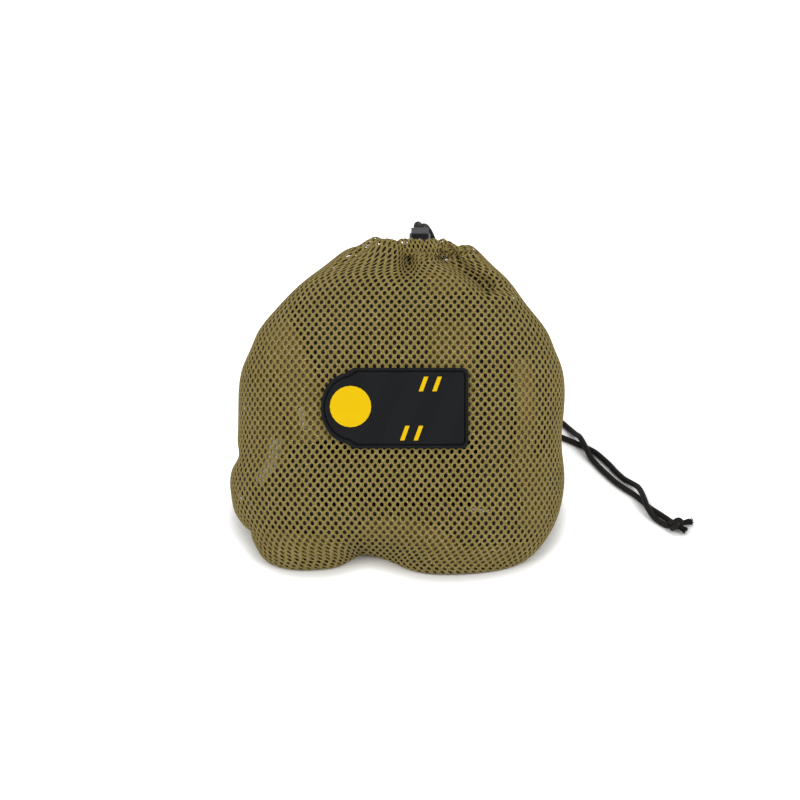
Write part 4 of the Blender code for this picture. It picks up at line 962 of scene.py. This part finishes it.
def woven_webbing(name, light, dark):
    """Warp cords with ribs across them: hollows painted dark as shade and crowns painted light as
    a satin highlight.
    """
    material, tree = finish_of(name, 0.62, 1.53, sheen=0.12)
    waves = []
    for place, pitch in zip(places_on(tree), (RIB_PITCH, WARP_PITCH)):
        turn = add(tree, "Math", {0: place, 1: math.pi / pitch}, operation="MULTIPLY")
        wave = add(tree, "Math", {0: turn}, operation="SINE")
        waves.append(add(tree, "Math", {0: wave}, operation="ABSOLUTE"))
    weave = add(tree, "Math", {0: waves[0], 1: waves[1]}, operation="MULTIPLY")
    fibre = add(tree, "TexNoise", {"Scale": 900.0, "Detail": 2.0})
    # Painted shade and highlight: the weave's height, broken by random fibre noise, sets the
    # colour from dark hollows to light crowns.
    tone = add(tree, "Math", {0: weave, 1: fibre}, operation="MULTIPLY")
    scaled = add(tree, "Math", {0: tone, 1: 1.7}, operation="MULTIPLY", use_clamp=True)
    two_tones(tree, scaled, dark, light, weave, 0.7, 0.0003)
    return material


BLACK_WEB = woven_webbing("woven_polyester_webbing_black", "#221C15", "#0B0806")
OLIVE_WEB = woven_webbing("woven_polyester_webbing_olive", "#98844A", "#66572E")

# %% Lay the dark and the olive runs
GRIP_ZONE = 0.070
RUN_WIDTH = 0.0350
RUN_SPACING = 0.0302
RUNS_ROUND = 22
FIRST_RUN = -0.318


def dark_routes():
    """Upright runs all round the bag; at the front grips they stop above and below."""
    chance = random.Random(11)
    routes = []
    for number in range(RUNS_ROUND):
        at = FIRST_RUN + number * RUN_SPACING
        lean = chance.uniform(-0.004, 0.004)
        lift = 0.0058 if number % 2 else 0.0082
        high = 0.182 if 0.060 < at < 0.100 else 0.194 if 0.030 < at < 0.060 else 0.212
        high += chance.uniform(-0.003, 0.003)
        if abs(at) < GRIP_ZONE:
            routes.append(([(at + lean, high), (at, 0.150), (at - lean, 0.110), (at, 0.064)],
                           lift, RUN_WIDTH))
            routes.append(([(at, 0.017), (at + lean, 0.0), (at, -0.045)], 0.0040, RUN_WIDTH))
        else:
            routes.append(([(at + lean, high), (at, 0.150), (at - lean, 0.100), (at, 0.050),
                            (at + lean, 0.0), (at, -0.045)], lift, RUN_WIDTH))
    for height, lift in ((0.181, 0.0106), (0.168, 0.0132)):
        ring = [(a, height + 0.003 * math.sin(9 * a * 3.14)) for a in np.linspace(-0.20, 0.20, 9)]
        routes.append((ring, lift, RUN_WIDTH))
    return routes


OLIVE_ROUTES = [
    ([(-0.1016, 0.149), (-0.0879, 0.1258), (-0.0698, 0.086), (-0.0654, 0.0628)], 0.0024, 0.034),
    ([(-0.132, 0.135), (-0.118, 0.108), (-0.102, 0.068), (-0.100, 0.045)], 0.0028, 0.034),
    ([(0.030, 0.190), (0.033, 0.172)], 0.0032, 0.034),
    ([(0.036, 0.152), (0.036, 0.110), (0.034, 0.070)], 0.0045, 0.034),
    ([(0.088, 0.125), (0.0925, 0.0973), (0.094, 0.070), (0.090, 0.043)], 0.0024, 0.018),
    ([(0.100, 0.050), (0.112, 0.020), (0.105, -0.005)], 0.0045, 0.034),
    ([(-0.130, -0.010), (-0.060, -0.016), (-0.020, -0.008), (0.0, -0.004), (0.025, -0.012),
      (0.050, -0.024), (0.120, -0.024)], 0.0030, 0.026),
    ([(-0.250, 0.150), (-0.238, 0.100), (-0.252, 0.040)], 0.0031, 0.034),
    ([(0.262, 0.160), (0.250, 0.110), (0.256, 0.060)], 0.0033, 0.034),
    ([(0.180, 0.140), (0.186, 0.090), (0.176, 0.050)], 0.0031, 0.034),
]
dark_runs = runs("black_strap_runs", dark_routes(), BLACK_WEB, 3)
olive_runs = runs("olive_strap_runs", OLIVE_ROUTES, OLIVE_WEB, 4)
print("runs", len(dark_runs.data.polygons), "and", len(olive_runs.data.polygons), "faces")

# %% [markdown]
# A few pale specks show through the holes.
# Narrow white strips of the same weave lie just under the mesh there and make them.

# %% Lay the pale strips
PALE_WEB = woven_webbing("woven_polyester_strip_white", "#F4F0E6", "#C4BEB0")
PALE_ROUTES = [
    ([(-0.0940, 0.0660), (-0.0975, 0.0470), (-0.1070, 0.0340)], 0.0022, 0.011),
    ([(-0.0745, 0.0885), (-0.0705, 0.0725)], 0.0022, 0.008),
    ([(0.0495, 0.0150), (0.0675, 0.0126)], 0.0022, 0.0026),
]
pale_runs = runs("pale_strips_under_mesh", PALE_ROUTES, PALE_WEB, 5)
print("pale strips", len(PALE_ROUTES))

# %% [markdown]
# The trainer's own straps are bent strips: the wound hanks, the doubled strap through each
# buckle, the handles' triangles, the rubber foot cradles and the anchor's loop. Each is
# one section swept along its path, because a strap keeps its width and only bends.

# %% Straps along their own paths
def strap_profile(width, thickness):
    """A flat strap's section, with rounded edges, anticlockwise."""
    t, w = thickness / 2, width / 2
    half = [(-t, t - w), (-0.6 * t, 0.3 * t - w), (0.0, -w), (0.6 * t, 0.3 * t - w), (t, t - w)]
    return half + [(-x, -y) for x, y in half]


def strap(name, path, across, width, thickness, material, closed=True):
    """A strap in the leaning frame: a path, and the direction of its width."""
    line = to_world(np.array(path, float))
    if not closed:
        line = evenly(line, len(line) * 2)
    wide = to_world(np.array([across], float))[0] - to_world(np.zeros((1, 3)))[0]
    sides = np.cross(ways_along(line, closed), wide)
    return sweep(name, line, sides, strap_profile(width, thickness), material, "bag",
                 closed=closed)


def arc(centre_x, centre_y, radius, start, stop, count):
    turns = np.radians(np.linspace(start, stop, count + 1))
    return [(centre_x + radius * math.cos(t), centre_y + radius * math.sin(t)) for t in turns]


def stadium(half, radius):
    """A long loop with round ends, up along y."""
    return arc(0.0, half, radius, 0, 180, 10) + arc(0.0, -half, radius, 180, 360, 10)


def dense(path, step):
    """A closed path with points at even steps, so that a straight stays straight."""
    ring = np.array([(x, y, 0.0) for x, y in path + path[:1]])
    return evenly(ring, round(length_of(ring) / step))[:-1, :2]


# %% The wound hanks
WEB_THICK = 0.0019
HANK_LOOPS = 6
HANK_PITCH = 0.0028
HANK_AT = (0.052, -0.0384, 0.0205)
HANK_INNER = 0.0122
HANK_STRETCH = 0.018
TURN_STEPS = 48
LOOP_AT = (0.031, -0.0231, 0.0941)


def hank(name, side):
    """One strap, wound on edge into a flat oval that stands on the bag's floor."""
    points = []
    for step in range(HANK_LOOPS * TURN_STEPS + 1):
        turns = step / TURN_STEPS
        turn = 2 * math.pi * turns
        radius = HANK_INNER + HANK_PITCH * turns
        shift = HANK_STRETCH * max(min(math.cos(turn) * 2.4, 1.0), -1.0)
        points.append((side * HANK_AT[0] + shift + radius * math.cos(turn),
                       HANK_AT[1] + radius * math.sin(turn), HANK_AT[2]))
    line = evenly(np.array(points), 520)
    sides = np.cross(ways_along(line), np.array([0.0, 0.0, 1.0]))
    made = sweep(name, line, sides, strap_profile(0.0378, WEB_THICK), OLIVE_WEB, "bag")
    print(name, "strap length", round(length_of(line), 3))
    return made


for side, tag in ((-1, "left"), (1, "right")):
    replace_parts(hank("wound_strap_" + tag, side), "strap_hank_" + tag)
    loop = [(side * LOOP_AT[0], x + LOOP_AT[1], y + LOOP_AT[2])
            for x, y in dense(stadium(0.0577, 0.0022), 0.0016)]
    doubled = strap("doubled_strap_" + tag, loop, (1, 0, 0), 0.0358, WEB_THICK, OLIVE_WEB)
    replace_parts(doubled, "strap_loop_" + tag)

# %% [markdown]
# Moulded nylon is satin and faintly mottled, moulded rubber is softer and duller, and the
# snap hook is anodised aluminium: a matt blasted skin that takes colour. Each is a slow cloud
# of tone and wear over a fine grain, so one function makes them. Stamped steel is
# zinc-plated, with a fine brushed grain that runs one way.

# %% Finishes for the hard pieces
def mottled(name, light, dark, roughness, grain, depth, ior=1.5, metallic=0.0, specular=0.5,
            cloud=120.0, strength=0.3):
    """Moulded or blasted: a slow cloud of tone and wear over a fine grain."""
    material, tree = finish_of(name, roughness, ior, metallic, specular=specular)
    place = add(tree, "TexCoord").outputs["Object"]
    clouds = add(tree, "TexNoise", {"Vector": place, "Scale": cloud, "Detail": 4.0})
    grains = add(tree, "TexNoise", {"Vector": place, "Scale": grain, "Detail": 2.0})
    worn = add(tree, "MapRange", {"Value": clouds, "To Min": roughness - 0.08,
                                  "To Max": roughness + 0.08})
    two_tones(tree, clouds, dark, light, grains, strength, depth, worn)
    return material


def brushed_steel(name, light, dark):
    """Zinc-plated steel, brushed one way: long fine streaks that stretch each highlight."""
    material, tree = finish_of(name, 0.3, metallic=1.0)
    place = add(tree, "TexCoord").outputs["Object"]
    longer = add(tree, "Mapping", {"Vector": place, "Scale": (150.0, 2600.0, 2600.0)})
    streak = add(tree, "TexNoise", {"Vector": longer, "Scale": 1.0, "Detail": 2.0})
    worn = add(tree, "MapRange", {"Value": streak, "To Min": 0.22, "To Max": 0.42})
    two_tones(tree, streak, dark, light, streak, 0.15, 0.00005, worn)
    return material


NYLON = mottled("moulded_nylon_black", "#36383A", "#292B2D", 0.42, 1800.0, 0.00006, 1.53)
ALUMINIUM = mottled("anodised_aluminium_black", "#2E3033", "#1E2022", 0.36, 2600.0, 0.00003,
                    metallic=1.0)
CRADLE_RUBBER = mottled("moulded_rubber_black", "#2B2C2E", "#1B1C1E", 0.54, 1500.0, 0.0001,
                        1.52, cloud=60.0, strength=0.25)
YELLOW = mottled("moulded_rubber_yellow", "#F7CE00", "#F0C300", 0.55, 1500.0, 0.00005, 1.52,
                 specular=0.10)
STEEL = brushed_steel("zinc_plated_steel_brushed", "#C4C6C8", "#8E9093")

# %% The handles' webbing and foot cradles
GRIPS = {"front": (-0.0540, 0.0395), "rear": (0.0237, 0.0475)}
for tag, (w, up) in GRIPS.items():
    half, top, corner = 0.0800, 0.1050, 0.0100
    tilt = math.degrees(math.atan2(top - corner, half - corner))
    triangle = (arc(half - corner, corner, corner, -90, 90 - tilt, 8)
                + arc(0.0, top - corner, 0.0070, 90 - tilt, 90 + tilt, 8)
                + arc(corner - half, corner, corner, 90 + tilt, 270, 8))
    path = [(x, w, up + y) for x, y in dense(triangle, 0.0030)]
    handle = strap("handle_strap_" + tag, path, (0, 1, 0), 0.0179, WEB_THICK, OLIVE_WEB)
    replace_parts(handle, "handle_webbing_" + tag)
    reach, bend, drop = 0.0826, 0.0140, 0.0200
    cradle = ([(reach, corner)] + arc(reach - bend, bend - drop, bend, 0, -90, 10)
              + arc(bend - reach, bend - drop, bend, 270, 180, 10) + [(-reach, corner)])
    sling = strap("foot_sling_" + tag, [(x, w, up + y) for x, y in cradle], (0, 1, 0), 0.0199,
                  0.0025, CRADLE_RUBBER, closed=False)
    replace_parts(sling, "foot_cradle_" + tag)
    print(tag, "triangle tilt", round(tilt, 1))

# %% The anchor's loop
anchor_path = [(0.0, x - 0.0124, y + 0.07925)
               for x, y in dense(stadium(0.02325, 0.0061), 0.0016)]
anchor = strap("anchor_loop", anchor_path, (1, 0, 0), 0.0279, WEB_THICK, BLACK_WEB)
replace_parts(anchor, "anchor_strap")

# %% [markdown]
# Each grip is a closed-cell foam sleeve on a tube. Foam is cut with a slightly crowned
# skin and softened ends, and a grip wears smooth in its middle. A turned outline makes
# it: points along the axis and their distance from it, spun round in small steps.

# %% Foam grips
def closed_cell_foam(name, light, dark):
    """Closed-cell foam: a matt, finely pitted dark skin; the pits are painted darker as shade, so
    the cell walls look slightly greyer.
    """
    material, tree = finish_of(name, 0.88, 1.4, sheen=0.05)
    place = add(tree, "TexCoord").outputs["Object"]
    cells = add(tree, "TexVoronoi", {"Vector": place, "Scale": 1100.0})
    # Painted shade: the pits are coloured darker than the cell walls.
    wall = add(tree, "MapRange", {"Value": cells, "From Min": 0.15, "From Max": 0.60})
    two_tones(tree, wall, dark, light, wall, 0.5, 0.0002)
    return material


def turned(name, outline, centre, material, body):
    """A closed outline of places along the X axis and radii, spun round it."""
    turns = np.arange(TURN_STEPS) * 2 * math.pi / TURN_STEPS
    points = [(centre[0] + x, centre[1] + r * math.cos(t), centre[2] + r * math.sin(t))
              for x, r in outline for t in turns]
    return piece_of(name, points, bands(len(outline), TURN_STEPS, closed=True), material, body)


FOAM = closed_cell_foam("closed_cell_foam_black", "#232323", "#0E0E0E")


def foam_outline():
    """Half the sleeve's section: crowned outside, straight bore."""
    outside = [(-0.0620, 0.0150), (-0.0616, 0.0158), (-0.0606, 0.0162)]
    outside += [(x, 0.0162 + 0.0003 * math.cos(x / 0.0606 * math.pi / 2))
                for x in np.linspace(-0.050, 0.050, 11)]
    outside += [(0.0606, 0.0162), (0.0616, 0.0158), (0.0620, 0.0150)]
    return outside + [(0.0620, 0.0129), (-0.0620, 0.0129)]


for tag, (w, up) in GRIPS.items():
    centre = to_world(np.array([[0.0, w, up]]))[0]
    sleeve = turned("foam_grip_" + tag, foam_outline()[::-1], centre, FOAM, tag + "_grip")
    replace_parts(sleeve, "handle_foam_" + tag)
    print(sleeve.name, "centre", centre.round(5))

# %% [markdown]
# The badge is soft rubber, moulded in one plate with a raised rim. Its middle has a fine
# pattern of dots, about two millimetres apart, and wide slanted bands that are a shade
# lighter, both faint. The disc and bars are yellow rubber, poured into their own recess.

# %% Moulded rubber badge, dark grey
DOT_PITCH = 0.0030
BAND_PITCH = 0.0320
BAND_SLANT = 0.45


def badge_rubber():
    """Moulded rubber, dark grey: a matt field with faint bands, and faint dots in relief."""
    material, tree = finish_of("moulded_rubber_badge", 0.60, 1.52, specular=0.12)
    place = add(tree, "TexCoord").outputs["Object"]
    level = add(tree, "Mapping", {"Vector": place, "Rotation": (LEAN, 0.0, 0.0)})
    across, _, up = add(tree, "SeparateXYZ", {0: level}).outputs
    waves = []
    for way in (across, up):
        turn = add(tree, "Math", {0: way, 1: 2 * math.pi / DOT_PITCH}, operation="MULTIPLY")
        waves.append(add(tree, "Math", {0: turn}, operation="COSINE"))
    dots = add(tree, "Math", {0: waves[0], 1: waves[1]}, operation="MULTIPLY")
    dot = add(tree, "MapRange", {"Value": dots, "From Min": 0.35, "From Max": 0.75})
    slant = add(tree, "Math", {0: up, 1: BAND_SLANT}, operation="MULTIPLY")
    leaning = add(tree, "Math", {0: across, 1: slant}, operation="SUBTRACT")
    turn = add(tree, "Math", {0: leaning, 1: 2 * math.pi / BAND_PITCH}, operation="MULTIPLY")
    wave = add(tree, "Math", {0: turn}, operation="SINE")
    band = add(tree, "MapRange", {"Value": wave, "From Min": -0.06, "From Max": 0.06})
    field = add(tree, "Mix", {0: band, 6: linear("#101113"), 7: linear("#131416")},
                data_type="RGBA")
    dotted = add(tree, "Math", {0: dot, 1: 0.45}, operation="MULTIPLY")
    grain = add(tree, "TexNoise", {"Vector": place, "Scale": 1400.0, "Detail": 2.0})
    height = add(tree, "Math", {0: dot, 1: grain}, operation="ADD")
    two_tones(tree, dotted, field.outputs[2], "#0E0F10", height, 0.25, 0.0002)
    return material


BADGE = badge_rubber()

# %% Mould the badge's plate
BADGE_CENTRE = (-0.0020, 0.0879)
BADGE_HALF = (0.0534, 0.02915)
BADGE_ROUND = 0.0204
BADGE_BACK = FRONT_FLAT + 0.0003
BADGE_SECTION = [
    (0.0, 0.0), (0.0, 0.0017), (0.00015, 0.0021), (0.0005, 0.0025), (0.0009, 0.0026),
    (0.0014, 0.0026), (0.0018, 0.0025), (0.0021, 0.0021), (0.00225, 0.0014), (0.0024, 0.0010),
    (0.0027, 0.0010), (0.0029, 0.0014), (0.00305, 0.0019), (0.0033, 0.0020), (0.0042, 0.0020)]


def badge_outline(inset):
    """A plate round at the left, with small shoulders, and square at the right."""
    half, high = BADGE_HALF[0] - inset, BADGE_HALF[1] - inset
    corner = 0.0045 - inset / 2
    low = high - 0.0036
    middle = BADGE_ROUND - half
    points = arc(half - corner, corner - high, corner, -90, 0, 6)
    points += arc(half - corner, high - corner, corner, 0, 90, 6)
    points += [(middle + 0.0034, high), (middle - 0.0023, low)]
    turns = np.radians(90 + 180 * np.arange(1, 24) / 24)
    points += [(middle + BADGE_ROUND * math.cos(t), low * math.sin(t)) for t in turns]
    return points + [(middle - 0.0023, -low), (middle + 0.0034, -high)]


def moulded_badge():
    """The plate: a rounded rim, a groove inside it, and a field for the disc and bars."""
    rings = [[(BADGE_CENTRE[0] + x, -BADGE_BACK - rise, BADGE_CENTRE[1] + up)
              for x, up in badge_outline(inset)] for inset, rise in BADGE_SECTION]
    return piece_of("moulded_badge", to_world(np.array(rings).reshape(-1, 3)),
                    bands(len(rings), len(rings[0]), caps=True), BADGE, "bag")


badge = moulded_badge()
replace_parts(badge, "badge_plate")
print("badge", round(BADGE_HALF[0] * 2000, 1), "by", round(BADGE_HALF[1] * 2000, 1), "mm")

# %% [markdown]
# Inside the lock a small coil spring of steel wire pushes the button up. Pressing the
# button closes its coils.

# %% Wind the lock's spring
SPRING_FOOT = 0.16164
SPRING_TALL = 0.0047
SPRING_RADIUS = 0.0040
SPRING_TURNS = 4
WIRE_RADIUS = 0.0002


def lock_spring():
    """A coil of steel wire, with its end turns lying flat."""
    turns = np.linspace(0.0, SPRING_TURNS, SPRING_TURNS * 32 + 1)
    share = np.clip((turns - 0.6) / (SPRING_TURNS - 1.2), 0.0, 1.0)
    rise = SPRING_FOOT + WIRE_RADIUS + share * (SPRING_TALL - 2 * WIRE_RADIUS)
    points = np.stack([LOCK[0] + SPRING_RADIUS * np.cos(2 * math.pi * turns),
                       LOCK[1] + SPRING_RADIUS * np.sin(2 * math.pi * turns), rise], axis=1)
    return sweep("lock_coil_spring", points, carried_sides(points, np.array([0.0, 0.0, 1.0])),
                 circle(WIRE_RADIUS, 8), STEEL, "cord_lock")


coil = lock_spring()
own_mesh(coil)
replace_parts(coil, "cord_lock_spring")
print("lock spring", SPRING_TURNS, "turns,", SPRING_TALL * 1000, "mm tall")

# %% [markdown]
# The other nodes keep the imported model's own shape and only get their finishes, picked by
# the start of their names.

# %% Give each carried-over node its finish
FINISHES = {
    "badge_disc": YELLOW, "badge_stripe_": YELLOW,
    "cord_lock_body": NYLON, "cord_lock_plunger": NYLON,
    "cam_frame_": STEEL, "cam_pin_": STEEL, "cam_spring_": STEEL, "cam_lever_": NYLON,
    "handle_tube_": NYLON, "handle_cap_": NYLON, "carabiner_body": ALUMINIUM,
    "carabiner_gate": ALUMINIUM, "gate_pin": STEEL, "gate_spring": STEEL,
}
finished = 0
for name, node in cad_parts.items():
    for start, material in FINISHES.items():
        if name.startswith(start):
            node.data.materials.clear()
            node.data.materials.append(material)
            finished += 1
print("nodes with a finish of their own", finished)

# %% [markdown]
# The table is a plain white sheet. It shows white to the camera, keeps the shadow, and gets a
# painted contact shadow.
# Reflections see the same white, so that metal and satin plastic look right beside it.

# %% Floor, world and lamps
TABLE_REACH = 6.0
LAMP_AIM = (0.0, 0.0, 0.08)
LAMP_SIZE = 0.8
LAMP_COLOUR = "#FFFCF6"


def seen_white(tree):
    """1 for a ray from the camera, off a shiny surface or through a clear one, else 0."""
    path = add(tree, "LightPath").outputs
    bounced = add(tree, "Math", {0: path["Is Glossy Ray"], 1: path["Is Transmission Ray"]},
                  operation="MAXIMUM")
    return add(tree, "Math", {0: path["Is Camera Ray"], 1: bounced}, operation="MAXIMUM")


def white_floor():
    """White paper that glows to the camera, with a painted contact shadow: the glow is less where
    something stands close above it.
    """
    material, tree = finish_of("white_paper_sheet", 0.9)
    inputs = tree.nodes["Principled BSDF"].inputs
    inputs["Base Color"].default_value = linear("#F4F4F4")
    inputs["Emission Color"].default_value = (1.0, 1.0, 1.0, 1.0)
    # Painted contact shadow: ambient occlusion dims the floor's glow close under the bag.
    open_sky = add(tree, "AmbientOcclusion", {"Distance": 0.016})
    shade = add(tree, "Math", {0: open_sky.outputs["AO"], 1: 3.0}, operation="POWER")
    strength = add(tree, "Math", {0: shade, 1: 0.80}, operation="MULTIPLY")
    glow = add(tree, "Math", {0: seen_white(tree), 1: strength}, operation="MULTIPLY")
    tree.links.new(glow.outputs[0], inputs["Emission Strength"])
    return material


def floor():
    mesh = bpy.data.meshes.new("table")
    corners = [(x * TABLE_REACH, y * TABLE_REACH, 0)
               for x, y in ((-1, -1), (1, -1), (1, 1), (-1, 1))]
    mesh.from_pydata(corners, [], [(0, 1, 2, 3)])
    mesh.materials.append(white_floor())
    made = bpy.data.objects.new("table", mesh)
    bpy.context.scene.collection.objects.link(made)


def lamp(name, place, power):
    """A square soft lamp, aimed at the bag's middle."""
    light = bpy.data.lights.new(name, "AREA")
    light.size = LAMP_SIZE
    light.energy = power
    light.color = linear(LAMP_COLOUR)[:3]
    made = bpy.data.objects.new(name, light)
    made.location = place
    toward = Vector(LAMP_AIM) - Vector(place)
    made.rotation_euler = toward.to_track_quat("-Z", "Y").to_euler()
    bpy.context.scene.collection.objects.link(made)


def sky():
    world = bpy.data.worlds.new("studio")
    bpy.context.scene.world = world
    world.use_nodes = True
    tree = world.node_tree
    back = tree.nodes["Background"]
    power = add(tree, "MapRange", {"Value": seen_white(tree), "To Min": 0.55, "To Max": 1.0})
    back.inputs["Color"].default_value = (0.93, 0.96, 1.0, 1.0)
    tree.links.new(power.outputs[0], back.inputs["Strength"])


floor()
sky()
lamp("left_softbox", (-1.1, -1.1, 1.7), 14.0)
lamp("right_softbox", (1.2, -1.0, 1.6), 12.0)
bpy.context.scene.view_settings.view_transform = "Standard"
